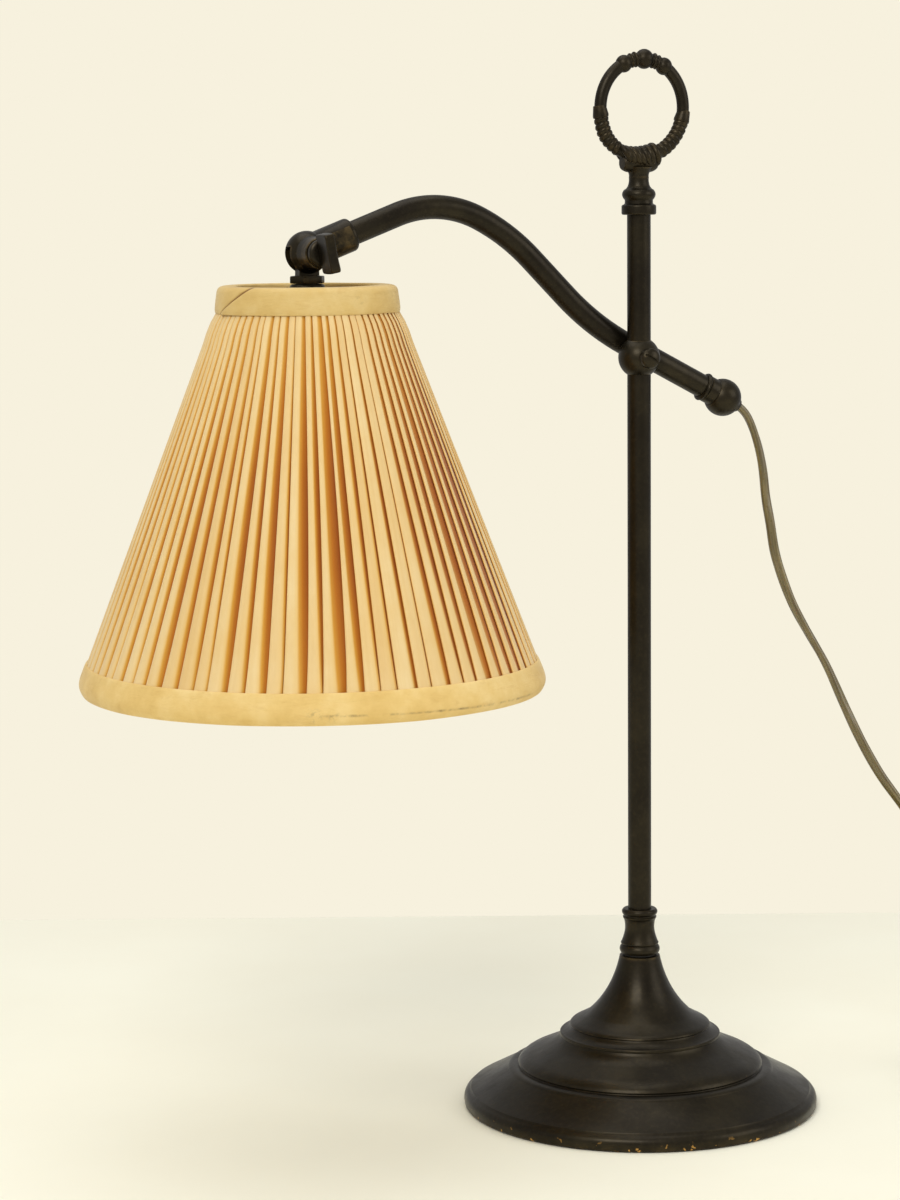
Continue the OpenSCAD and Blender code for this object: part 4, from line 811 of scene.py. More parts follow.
def makeRing():
    r = ring["radius"]
    bar = bentTube("ringBar", (Vector((0, 0, ring["middle"] + r)), 0), ring["bar"], [[r, -360]], 32, False)
    parts = [bar]
    bead = ballLine(5.1, -78, 78, 20)
    parts.append(turned("ringTopBead", [(0, bead[0][1]), *bead, (0, bead[-1][1])], onRing(0), 40))
    for side in (-1, 1):
        parts.append(turned("ringReel", [(2.6, -0.95), *bow((3.2, -0.95), (4.9, 0), (3.2, 0.95), 8), (2.6, 0.95),
                                         (2.6, -0.95)], onRing(side * 13), 40))
        parts.append(turned("ringReel", [(2.6, -0.8), *bow((3.2, -0.8), (4.5, 0), (3.2, 0.8), 8), (2.6, 0.8),
                                         (2.6, -0.8)], onRing(side * 18.5), 40))
        bead = ballLine(4.5, -70, 70, 18)
        parts.append(turned("ringBead", [(0, bead[0][1]), *bead, (0, bead[-1][1])], onRing(side * 29), 40))
        # sleeve where the roped part begins, then fine turns of wire down to the knot
        flip = Matrix.Rotation(0 if side > 0 else math.pi, 4, "X")
        parts.append(turned("ringSleeve", [(2.6, -6.2), (3.35, -6.0), (3.8, -3.6), (4.25, -0.9), (4.15, 0), (3.4, 0.4), (2.6, 0.3),
                                           (2.6, -6.2)], onRing(side * ring["ropeFrom"]) @ flip, 32))
        for i in range(ring["limbWraps"]):
            place = onRing(side * (ring["ropeFrom"] + 3.5 + i * ring["limbEvery"]))
            parts.append(wrapAt(place @ Matrix.Rotation(math.radians(side * ring["limbLean"]), 4, "X"),
                                ring["limbRadius"], ring["limbWire"]))
    piece = joinAll("ringHandle", parts)
    # the cast ring is a little taller than wide and sits slightly askew on its knot
    pivot, centre = Vector((0, 0, ring["middle"] - r)) * mm, Vector((0, 0, ring["middle"])) * mm
    askew = (Matrix.Translation(pivot + Vector((ring["shift"] * mm, 0, 0)))
             @ Matrix.Rotation(math.radians(ring["leans"]), 4, "Y") @ Matrix.Translation(-pivot)
             @ Matrix.Translation(centre) @ Matrix.Diagonal((1, 1, ring["taller"], 1)) @ Matrix.Translation(-centre))
    piece.data.transform(askew)
    for corner in piece.data.vertices:
        if corner.co.x < 0:
            low = (corner.co.z / mm - ring["middle"] + 18) / 9
            corner.co.x -= ring["sag"] * mm * math.exp(-low ** 2) * min(1, -corner.co.x / (8 * mm))
    finishPiece(piece, "post", bronze, "bronze", "ring_handle")

    bottom = ring["middle"] - r - ring["knotDrop"]
    neck = turned("knotNeck", [(0, 508.2), (5.3, 508.2), *bow((5.3, 508.8), (5.2, 510.5), (7.4, 513.4), 6), (0, 514.2)],
                  placeAt(0, 0, 0), 48)
    core = turned("knotCore", [(0, -10.2), *bow((3.6, -10), (5.2, -8), (5.2, -5), 5), (5.3, 5),
                               *bow((5.2, 5), (5.2, 8), (3.6, 10), 5), (0, 10.2)],
                  placeAt(0, 0, bottom - 2.2, 90), 40)
    wraps = [neck, core]
    for i in range(ring["knotWraps"]):
        x = (i - (ring["knotWraps"] - 1) / 2) * ring["wrapEvery"]
        z = ring["middle"] - math.sqrt(r * r - x * x) - ring["knotDrop"] + 0.4
        place = placeAt(x, 0, z, 90 - ring["wrapLean"] + x, (i % 2) * 3 - 1)
        wraps.append(wrapAt(place, ring["wrapRadius"], ring["wrapWire"], (40, 12)))
    piece = joinAll("finialKnot", wraps)
    finishPiece(piece, "post", bronze, "bronze", "finial_knot")


makeRing()
print("post, ring handle and knot made")


# clamp ball on the post, and its slotted screw

clamp = dict(height=412.0, ball=11.2, face=10.4, head=5.4, headHeight=6.0, saddle=7.5, slot=32, screw=2.5)
armSide = 13.3
tailStart = Vector((-0.835, armSide, 418.410))
tailHeading = -27.5
knob = placeAt(58.152, armSide, 387.703, 90 - tailHeading)
seat = tailStart + 3.7 * Vector((math.cos(math.radians(tailHeading)), 0, math.sin(math.radians(tailHeading))))


def makeClamp():
    ball = turned("clampBall", ballLine(clamp["ball"], count=40), placeAt(0, 0, clamp["height"]), 80)
    lug = turned("clampLug", [(0, 4), (clamp["saddle"], 4), (clamp["saddle"], 11.6),
                              *bow((clamp["saddle"], 11.8), (clamp["saddle"], 12.5), (clamp["saddle"] - 0.8, 12.5), 3), (0, 12.5)],
                 placeAt(seat.x, 0, seat.z, 0, -90), 64)
    cutOut(ball, lug, way="UNION")
    cutOut(ball, rod("bore", placeAt(0, 0, clamp["height"]), 6.43, -22, 22, 64),
           rod("saddle", knob, 6.4, -66.5, 0, 64),
           rod("saddleEnd", knob, 6.65, -74.5, -65.5, 64),
           rod("screwSeat", placeAt(0, -clamp["face"], clamp["height"], 0, 90), clamp["head"] + 0.3, 0, 20, 48))
    softenEdges(ball, 0.35, 2, 40)
    finishPiece(ball, "arm", bronzeWorn, "bronze", "clamp_ball")

    place = placeAt(0, -clamp["face"] - 0.3, clamp["height"], 0, 90)
    top = clamp["headHeight"]
    dome = [(0, -3.6), (clamp["screw"], -3.6), (clamp["screw"], 0), (clamp["head"] - 0.2, 0), (clamp["head"], 0.25),
            (clamp["head"], top - 2.7), *bow((clamp["head"] - 0.1, top - 2.2), (clamp["head"] * 0.72, top - 0.3), (0, top), 14)]
    screw = turned("clampScrew", dome, place, 64, 30)
    bpy.ops.object.select_all(action="DESELECT")
    slotPlace = place @ Matrix.Rotation(math.radians(-clamp["slot"]), 4, "Z") @ Matrix.Translation((0, 0, top - 1.5))
    slot = cutShape("slot", [(-8, -0.65), (8, -0.65), (8, 0.65), (-8, 0.65)], slotPlace, 4)
    cutOut(screw, slot)
    softenEdges(screw, 0.14, 2, 40)
    finishPiece(screw, "clamp_screw", bronzeWorn, "bronze", "clamp_screw")


makeClamp()


# bent arm with a bead, an end knob and the cord's bushing

knee = Vector((-185.472, armSide, 470.873))
arm = dict(radius=6.35, wall=1.2, rise=20.5, trim=14,
           stretches=[[40.0], [59, -47], [115, -18.5], [29], [149, 17.5], [57.5]])
kneeSocket = placeAt(*knee, 90 - arm["rise"])


def makeArm():
    rise = math.radians(arm["rise"])
    start = knee + arm["trim"] * Vector((math.cos(rise), 0, math.sin(rise)))
    tube = bentTube("armTube", (start, arm["rise"]), arm["radius"], arm["stretches"], 64)
    softenEdges(tube, 0.3, 2, 60)
    finishPiece(tube, "arm", bronzeTube, "bronze", "arm_tube")
    bead = turned("armBead", [(6.4, -1.2), *bow((6.9, -1.2), (9.1, 0.1), (6.9, 1.4), 12), (6.4, 1.4), (6.4, -1.2)],
                  knob @ Matrix.Translation((0, 0, -13.4)), 72)
    finishPiece(bead, "arm", bronze, "bronze", "arm_bead")
    sphere = ballLine(10.3, -math.degrees(math.asin(6.5 / 10.3)), math.degrees(math.acos(3.75 / 10.3)), 26)
    line = [(6.4, -9.2), (6.4, -12), *bow((6.9, -12), (7.35, -12), (7.35, -11.2), 3), (7.35, -7.3),
            *bow((7.35, -6.9), (7.4, -6.6), (7.8, -6.55), 3), *sphere, (3.75, 8.8), (3.75, -9.2), (6.4, -9.2)]
    ball = turned("armEndKnob", line, knob, 80, 30)
    finishPiece(ball, "arm", bronzeWorn, "bronze", "arm_end_knob")
    bushing = turned("cordBushing", [(2.25, 2.9), (3.7, 2.9), (3.7, 9.9), *bow((3.7, 10.2), (3.65, 10.9), (3.0, 10.9), 4),
                                     *bow((2.9, 10.8), (2.4, 10.2), (2.3, 9.4), 4), (0, 9.2), (0, 8.9), (2.25, 8.9), (2.25, 2.9)],
                     knob, 40)
    finishPiece(bushing, "arm", rubber, "rubber", "cord_bushing")


makeArm()
print("clamp and arm made")


# knuckle: a slotted ball on the arm, a wing screw through it, the tongue in its slot

knuckle = dict(ball=11.3, socket=8.9, slot=7.0, eye=5.5, shank=2.5, shankEnd=9.5, face=18.4, boss=7.2, barrel=7.9,
               tiltIn=-12, tiltOut=75, wing=20.4, grip=5.2, gripLength=13.8, lean=11)


def makeKnuckle():
    k = knuckle
    ball = turned("knuckleFork", ballLine(k["ball"], count=40), placeAt(*knee), 80)
    collar = turned("collar", [(0, 4), (k["socket"], 4), (k["socket"], 24.2),
                               *bow((k["socket"], 24.6), (k["socket"], 26.8), (k["socket"] - 2, 27), 6), (0, 27)],
                    kneeSocket, 72)
    # the barrel that carries the wing screw stands out of the ball towards the front
    barrel = turned("barrel", [(0, 2), (k["barrel"] + 1, 2), *bow((k["barrel"] + 1, 6), (k["barrel"] + 0.5, 9), (k["barrel"] + 0.1, 13), 8),
                               (k["barrel"], k["face"] - 0.5), (k["barrel"] - 0.5, k["face"]), (0, k["face"])],
                    placeAt(*knee, 0, 90), 72)
    cutOut(ball, collar, barrel, way="UNION")
    wide = k["eye"] + 0.3
    swept = []
    for i in range(17):
        a = math.radians(-k["tiltIn"] + (180 - k["tiltOut"] + k["tiltIn"]) * i / 16)
        swept.append((wide * math.cos(a), wide * math.sin(a)))
    for tilt, side in ((k["tiltOut"], -1), (k["tiltIn"], 1)):
        a = math.radians(tilt)
        swept.append((side * wide * math.cos(a) - 22 * math.sin(a), -side * wide * math.sin(a) - 22 * math.cos(a)))
    slot = cutShape("slot", swept, placeAt(knee.x, knee.y + k["slot"] / 2, knee.z, 0, 90), k["slot"])
    cutOut(ball, slot, rod("screwBore", placeAt(*knee, 0, 90), k["shank"] + 0.08, -20, 20, 32),
           rod("armBore", kneeSocket, 6.4, 14, 30, 48), rod("leadBore", kneeSocket, 2.5, 5.5, 20, 24))
    softenEdges(ball, 0.3, 2, 42)
    finishPiece(ball, "arm", bronzeWorn, "bronze", "knuckle_fork")

    face = placeAt(knee.x, knee.y - k["face"], knee.z, 0, 90)
    washer = turned("wingWasher", [(2.6, 0), (5.0, 0), (5.1, 0.15), (5.1, 0.65), (5.0, 0.8), (2.6, 0.8), (2.6, 0)], face, 48)
    finishPiece(washer, "arm", steel, "steel", "wing_washer")

    place = placeAt(knee.x, knee.y - k["face"] - 1.1, knee.z, 0, 90)
    end = -k["face"] - 1.1 - k["shankEnd"]
    boss = turned("wingScrew", [(0, end), (k["shank"] - 0.4, end), (k["shank"], end + 0.5), (k["shank"], 0),
                                (k["boss"] - 0.4, 0), (k["boss"], 0.4), (k["boss"], 2.6),
                                *bow((k["boss"] - 0.1, 3.0), (k["boss"] - 0.9, 3.9), (k["boss"] - 2.4, 4.0), 5), (0, 4.1)],
                  place, 64, 30)
    half, out = k["wing"] / 2, k["gripLength"]
    side = [*bow((half, 1.2), (half + 0.3, out * 0.5), (half - 0.1, out - 2.2), 6),
            *bow((half - 0.3, out - 0.9), (half - 1.0, out), (half - 2.6, out - 0.1), 6), (half - 6, out - 0.5)]
    wing = [(-half + 0.8, 0), (half - 0.8, 0), *side, (0, out - 0.7), *[(-at, up) for at, up in reversed(side)]]
    gripPlace = (place @ Matrix.Rotation(math.radians(k["lean"]), 4, "Z") @ Matrix.Translation((-k["grip"] / 2, 0, 3.9))
                 @ Matrix(((0, 0, 1, 0), (1, 0, 0, 0), (0, 1, 0, 0), (0, 0, 0, 1))))
    grip = cutShape("wingGrip", wing, gripPlace, k["grip"])
    softenEdges(grip, 0.8, 4, 40)
    piece = joinAll("wingScrew", [boss, grip])
    finishPiece(piece, "wing_screw", bronzeWorn, "bronze", "wing_screw")


makeKnuckle()


# head stack below the knuckle: tongue, lock nut, shade nut, all about the shade's axis

head = placeAt(*knee)


def makeStack():
    eye = turned("knuckleTongue", [(0, -3.2), (5.2, -3.2), (5.5, -2.9), (5.5, 2.9), (5.2, 3.2), (0, 3.2)],
                 placeAt(*knee, 0, 90), 56)
    blade = cutShape("blade", [(-5.5, -3.2), (5.5, -3.2), (5.5, 3.2), (-5.5, 3.2)],
                     head @ Matrix.Translation((0, 0, -12.1)), 12.1)
    stem = turned("stem", [(0, -16.2), (6.1, -16.2), (6.1, -12), (6.5, -12), (6.5, -11.9), *bow((6.5, -11.8), (6.4, -11.6), (6.0, -11.6), 3),
                           (0, -11.6)], head, 64)
    cutOut(eye, blade, stem, way="UNION")
    cutOut(eye, rod("eyeBore", placeAt(*knee, 0, 90), 2.58, -8, 8, 32), rod("nippleBore", head, 5.05, -18, -13.2, 32))
    softenEdges(eye, 0.2, 2, 42)
    finishPiece(eye, "head", bronze, "bronze", "knuckle_tongue")

    hexagon = [(9.58 * math.cos(math.radians(60 * i)), 9.58 * math.sin(math.radians(60 * i))) for i in range(6)]
    nut = cutShape("stemLocknut", hexagon, head @ Matrix.Translation((0, 0, -15.8)), 3.8)
    rounded = turned("nutRound", [(0, -15.9), (8.6, -15.9), (9.6, -15.2), (9.6, -12.6), (8.6, -11.9), (0, -11.9)], head, 64)
    cutOut(nut, rounded, way="INTERSECT")
    cutOut(nut, rod("nutBore", head, 6.15, -17, -10, 48))
    softenEdges(nut, 0.18, 2, 30)
    finishPiece(nut, "head", bronze, "bronze", "stem_locknut")

    nutLine = [(5.05, -18.7), *bow((9.3, -18.7), (9.5, -17.9), (8.6, -16.6), 6), *bow((8.5, -16.5), (8.2, -16.2), (7.6, -16.2), 3),
               (5.05, -16.2), (5.05, -18.7)]
    shadeNut = turned("shadeNut", nutLine, head, 72)
    finishPiece(shadeNut, "head", bronze, "bronze", "shade_nut")


makeStack()
print("knuckle and head stack made")


# shade: wire frame, lining, pleated cover and two bands, heights below the knuckle

shade = dict(rim=-16.7, hem=-228.0, topRadius=43.1, slope=(248 - 86.2) / 2 / 211.3, ringIn=3.55, liningIn=5.0,
             liningThick=0.6, bandIn=5.75, wire=1.3, rib=1.1, topWire=-20.1, hemWire=-220.0,
             coverTop=-18.3, coverFoot=-222.6, hub=-18.7)


def coverRadius(z):
    return shade["topRadius"] + (shade["rim"] - z) * shade["slope"]


def makeFrame():
    parts = []
    for z in (shade["topWire"], shade["hemWire"]):
        r = coverRadius(z) - shade["ringIn"]
        line = [(r + shade["wire"] * math.cos(a), z + shade["wire"] * math.sin(a))
                for a in (turn * i / 12 for i in range(13))]
        parts.append(turned("ringWire", line, head, 144, 60))
    for i in range(6):
        a = turn * i / 6
        r1, r2 = (coverRadius(z) - shade["ringIn"] for z in (shade["topWire"], shade["hemWire"]))
        run = Vector((r2 - r1, 0, shade["hemWire"] - shade["topWire"]))
        place = (head @ Matrix.Rotation(a, 4, "Z") @ Matrix.Translation((r1, 0, shade["topWire"]))
                 @ Matrix.Rotation(math.pi / 2 - math.atan2(run.z, run.x), 4, "Y"))
        parts.append(rod("ribWire", place, shade["rib"], 0, run.length, 20))
        for end in (0, run.length):        # solder where a rib meets a ring
            parts.append(turned("solder", ballLine(1.75, count=10, middle=end), place, 16, 60))
    piece = joinAll("shadeFrame", parts)
    finishPiece(piece, "head", steel, "steel", "shade_frame")

    parts = [turned("spiderHub", [(5.05, -20.2), (11.2, -20.2), (11.5, -19.9), (11.5, -19.0), (11.2, -18.7), (5.05, -18.7), (5.05, -20.2)],
                    head, 72)]
    far = coverRadius(shade["topWire"]) - shade["ringIn"] - shade["wire"]
    for a in (30, 150, 270):
        run = Vector((far - 11, 0, shade["topWire"] + 19.45))
        place = (head @ Matrix.Rotation(math.radians(a), 4, "Z") @ Matrix.Translation((11, 0, -19.45))
                 @ Matrix.Rotation(math.pi / 2 - math.atan2(run.z, run.x), 4, "Y"))
        parts.append(rod("spiderArm", place, 1.5, -0.5, run.length, 24))
        parts.append(turned("weld", ballLine(2.0, count=12), place, 20, 60))
    piece = joinAll("shadeSpider", parts)
    finishPiece(piece, "head", brass, "brass", "shade_spider")

    lining = []
    for i in range(13):
        z = shade["coverTop"] + (shade["coverFoot"] - shade["coverTop"]) * i / 12
        lining.append((coverRadius(z) - shade["liningIn"], z))
    lining += [(r - shade["liningThick"], z) for r, z in reversed(lining)]
    piece = turned("shadeLining", lining + [lining[0]], head, 144, 40)
    finishPiece(piece, "head", liningFinish, "lining", "shade_lining")


makeFrame()


# under is how far each fold is tucked beneath its strip, in shares of a pleat;
# gaps gives how wide the valleys are round the shade, by the angle in degrees (the front is at -90)
pleats = dict(count=76, rows=36, depth=1.95, seed=11, underTop=0.44, underFoot=0.07, pinch=1.2, swell=0.5, topHeight=14,
              gaps=((-180, 0.24), (-150, 0.30), (-124, 0.42), (-104, 0.50), (-91, 0.14), (-79, 0.26), (-66, 0.58),
                    (-48, 0.56), (-34, 0.40), (-17, 0.18), (20, 0.30), (70, 0.46), (120, 0.28), (155, 0.42), (180, 0.24)))


def gapAt(degrees):
    for (a, low), (b, high) in zip(pleats["gaps"], pleats["gaps"][1:]):
        if a <= degrees <= b:
            return low + (high - low) * (degrees - a) / (b - a)


def clothRadius(z):
    # the top band draws the cloth in, and it swells again right below
    below = shade["rim"] - pleats["topHeight"] - z
    return (coverRadius(z) - pleats["pinch"] * math.exp(-(below / 4) ** 2)
            + pleats["swell"] * math.exp(-((below - 7) / 5) ** 2))


def makePleats():
    dice = random.Random(pleats["seed"])
    folds = []
    for i in range(pleats["count"]):
        gap = gapAt((360 * i / pleats["count"] + 180) % 360 - 180) * dice.uniform(0.6, 1.45)
        folds.append(dict(gap=gap, lean=dice.uniform(0.25, 1.1), deep=dice.uniform(0.75, 1.0),
                          shift=dice.uniform(-0.13, 0.13), phase=dice.uniform(0, turn), sway=dice.uniform(0.01, 0.035),
                          foot=dice.uniform(-0.05, 0.05), crown=dice.uniform(0.0, 0.14), tone=dice.random()))
    pitch = turn / pleats["count"]
    corners, foldShadows, tones, around = [], [], [], []
    perFold = 10
    for row in range(pleats["rows"] + 1):
        share = row / pleats["rows"]
        z = shade["coverTop"] + (shade["coverFoot"] - shade["coverTop"]) * share
        # the gaps are widest near the middle and close again towards both bands
        grow = 0.34 + 0.66 * math.sin(math.pi * min(1, share) ** 0.82) ** 0.7
        grow *= 1 - 0.6 * max(0.0, (share - 0.86) / 0.14) ** 2
        # shadow sets how strong the painted valley shadow is: weaker near the top band, a little weaker near the hem
        shadow = 0.55 + 0.45 * min(1, 2.2 * share) - 0.22 * max(0.0, (share - 0.66) / 0.34)
        edges = []
        for i, f in enumerate(folds):
            gap = f["gap"] * grow
            middle = i + 0.5 + f["shift"] + f["foot"] * share * share + f["sway"] * math.sin(5 * share + f["phase"])
            edges.append((middle - (1 - gap) / 2, middle + (1 - gap) / 2))
        # a strip starts where the gap before it ends, so the folds never cross
        for i, f in enumerate(folds):
            left, right = edges[i]
            beyond = edges[(i + 1) % len(folds)][0] + (len(folds) if i + 1 == len(folds) else 0)
            if beyond < right + 0.02:
                right = beyond - 0.02
            wide = right - left
            under = min(0.46 * wide, pleats["underTop"] * (1 - share) + pleats["underFoot"] * share)
            deep = pleats["depth"] * f["deep"] * (0.55 + 0.45 * share)
            # every strip stands crisp on its left edge and sinks on its right into the valley
            lean = f["lean"] * (0.4 + 0.6 * share)
            soft = min(0.5, 0.22 + f["gap"])
            # the third number of each point is painted shadow: none on the lit strip, darkest in the valley and beneath
            # the strip edges
            shape = [(left + under, deep, 1.0), (left + 0.005, deep * 0.55, 0.62), (left + 0.02, deep * 0.16, 0.2),
                     (left + 0.05 + 0.07 * wide, 0.0, 0.0), ((left + right) / 2 - 0.1 * wide, -f["crown"], 0.0),
                     (right - soft * wide, 0.02, 0.05), (right - 0.4 * soft * wide, lean * 0.3, 0.24),
                     (right, lean * 0.6 + deep * 0.3, 0.56), (right + 0.45 * (beyond - right), deep * 0.85, 0.84),
                     (beyond - 0.005, deep, 1.0)]
            for at, sunk, dark in shape:
                sunk = max(0.0, sunk)
                r = clothRadius(z) - min(sunk, 2.0)
                corners.append(Vector((r * math.cos(at * pitch), r * math.sin(at * pitch), z)))
                foldShadows.append(max(0.0, min(1.0, dark * shadow)))
                tones.append(f["tone"])
                around.append((at * pitch * 0.08, z * mm))
    width = len(folds) * perFold
    faces = []
    for row in range(pleats["rows"]):
        for k in range(width):
            n = (k + 1) % width
            faces.append((row * width + k, (row + 1) * width + k, (row + 1) * width + n, row * width + n))
    mesh = bpy.data.meshes.new("pleatedCover")
    mesh.from_pydata([(head @ c) * mm for c in corners], [], faces)
    depth = mesh.attributes.new("foldShadow", "FLOAT", "POINT")
    depth.data.foreach_set("value", foldShadows)
    tone = mesh.attributes.new("stripTone", "FLOAT", "POINT")
    tone.data.foreach_set("value", tones)
    uv = mesh.uv_layers.new(name="weave")
    for loop in mesh.loops:
        u, v = around[loop.vertex_index]
        uv.data[loop.index].uv = (u, v)
    # the last strip's faces wrap round, so their far corners get the angle beyond a full turn
    for face in mesh.polygons:
        us = [uv.data[i].uv[0] for i in face.loop_indices]
        if max(us) - min(us) > 0.1:
            for i in face.loop_indices:
                if uv.data[i].uv[0] < 0.1:
                    uv.data[i].uv[0] += turn * 0.08
    piece = bpy.data.objects.new("pleatedCover", mesh)
    bpy.context.collection.objects.link(piece)
    makeActive(piece)
    bpy.ops.object.shade_smooth_by_angle(angle=math.radians(70))
    area = sum(face.area for face in mesh.polygons)
    print("pleated cover area", round(area, 4), "square metres")
    finishPiece(piece, "head", pleatFinish, "pleats", "shade_pleats")
    return piece


pleatedCover = makePleats()


def waver(dice, reach, count, low=2):
    # a smooth closed line of small ups and downs round the shade
    parts = [(k, reach * dice.uniform(0.3, 1.0) / (1 + 0.25 * (k - low)), dice.uniform(0, turn)) for k in range(low, low + count)]
    return lambda a: sum(size * math.sin(k * a + start) for k, size, start in parts)


bands = dict(seed=5, topHeight=14, bottomHeight=16, thick=1.0, lap=0.15, seamTop=-149.0, seamFoot=-179.0, seamStep=1.15)


def topBandLine():
    # nearly upright outside, folded over the rim, its inner leg against the lining
    rim, foot = shade["rim"], shade["rim"] - bands["topHeight"]
    lap, thick, c = bands["lap"], bands["thick"], coverRadius
    edge = c(foot) - pleats["pinch"]
    inside = shade["bandIn"] + thick
    return [(edge + 0.12, foot + 0.2), *bow((edge + 0.3, foot), (edge + 0.8, foot + 0.2), (edge + 0.85, foot + 2.2), 5),
            (edge + 0.75, foot + 3.6), (edge + 0.6, foot + 5), (edge + 0.4, foot + 6.6), (edge + 0.15, foot + 8.4),
            *bow((edge - 0.15, rim - 3.6), (edge - 0.5, rim - 0.1), (c(rim) + 0.2, rim), 8),
            *bow((c(rim) - shade["liningIn"], rim), (c(rim) - inside, rim), (c(rim - 3) - inside, rim - 3), 6),
            (c(rim - 6) - inside, rim - 6), (c(foot + 4) - inside, foot + 4), (c(foot + 4) - shade["bandIn"], foot + 4),
            (c(rim - 1.2) - shade["bandIn"], rim - 1.2), (c(rim - 1.2) + lap, rim - 1.2), (edge + 0.12, foot + 0.2)]


def bottomBandLine():
    hem, top = shade["hem"], shade["hem"] + bands["bottomHeight"]
    lap, thick, c = bands["lap"], bands["thick"], coverRadius
    return [(c(hem + 4.8) + lap, hem + 4.8), (c(hem + 10) + lap, hem + 10), (c(top) + lap, top),
            *bow((c(top) + 0.5, top), (c(top) + 1.3, top - 0.6), (c(top - 3) + thick, top - 3), 5),
            *[(c(top - k) + thick, top - k) for k in (4.5, 6, 7.5)],
            *bow((c(hem + 7) + thick - 0.2, hem + 7), (c(hem + 4) + thick - 0.4, hem + 3.4), (c(hem) - 3.6, hem), 8),
            *bow((c(hem) - shade["liningIn"] - 1, hem), (c(hem) - shade["bandIn"] - thick, hem),
                 (c(hem + 3) - shade["bandIn"] - thick, hem + 3), 5),
            (c(top - 5) - shade["bandIn"] - thick, top - 5), (c(top - 5) - shade["bandIn"], top - 5),
            (c(hem + 4.8) - shade["bandIn"], hem + 4.8), (c(hem + 4.8) + lap, hem + 4.8)]


def makeBands():
    dice = random.Random(bands["seed"])
    top = turned("topBand", topBandLine(), head, 288, 50)
    puff, rise = waver(dice, 0.13, 7, 3), waver(dice, 0.12, 6, 2)
    dark = []
    for corner in top.data.vertices:
        p = corner.co / mm - knee
        a, r = math.atan2(p.y, p.x), math.hypot(p.x, p.y)
        drop = (shade["rim"] - p.z) / bands["topHeight"]
        outside = r > coverRadius(p.z) - 2.6
        # the columns lean with the seam near it, and the cloth that laps over it lies one step higher
        off = (math.degrees(a) - bands["seamTop"] + 180) % 360 - 180
        a += math.radians((bands["seamFoot"] - bands["seamTop"]) * drop * math.exp(-(off / 26) ** 2))
        if outside:
            if 0.6 < off < 3:
                r += bands["seamStep"] * 0.86
            elif off > 0.6:
                r += bands["seamStep"] * math.exp(-(off - 3) / 30)
            elif off > -2.6:
                r -= 0.3
            r += puff(a) * min(1, drop * 3) * 0.8
        # dark marks a painted shadow line just before the raised lap of the seam
        dark.append(1.0 if outside and -1.9 < off < 0.6 else 0.35 if outside and -3.2 < off < 0.6 else 0.0)
        z = p.z + rise(a) * (0.6 if drop < 0.3 else 0.8)
        corner.co = (knee + Vector((r * math.cos(a), r * math.sin(a), z))) * mm
    crease = top.data.attributes.new("seam", "FLOAT", "POINT")
    crease.data.foreach_set("value", dark)
    # tone 0.94 makes this copy of the braid darker than the bottom band's: painted shade
    finishPiece(top, "head", bandCloth("topBandClothShaded", [((-0.175, -0.033, 0.448), 0.006, 0.25)], tone=0.94), "braid", "top_trim")

    bottom = turned("bottomBand", bottomBandLine(), head, 360, 50)
    puff, rise = waver(dice, 0.16, 12, 4), waver(dice, 0.16, 9, 3)
    for corner in bottom.data.vertices:
        p = corner.co / mm - knee
        a, r = math.atan2(p.y, p.x), math.hypot(p.x, p.y)
        up = (p.z - shade["hem"]) / bands["bottomHeight"]
        if r > coverRadius(p.z) - 4:
            r += puff(a) * (1 - 0.5 * up) - 0.15
        z = p.z + abs(rise(a)) * 0.7 * (1 - up) + rise(a + 1) * 0.25 * up
        corner.co = (knee + Vector((r * math.cos(a), r * math.sin(a), z))) * mm
    marks = [((-0.2305, -0.1040, 0.2478), 0.0075, 1.0), ((-0.2213, -0.1065, 0.2474), 0.006, 0.7)]
    darkLine = {"slope": -0.0177, "height": 0.2442, "wide": 0.0009, "front": -0.065, "from": -0.228, "to": -0.085}
    finishPiece(bottom, "head", bandCloth("bottomBandCloth", marks, darkLine), "braid", "bottom_trim")
    return top, bottom


topBand, bottomBand = makeBands()
print("shade made")


# lampholder and bulb under the spider's hub

holder = placeAt(knee.x, knee.y, knee.z - 20.2)


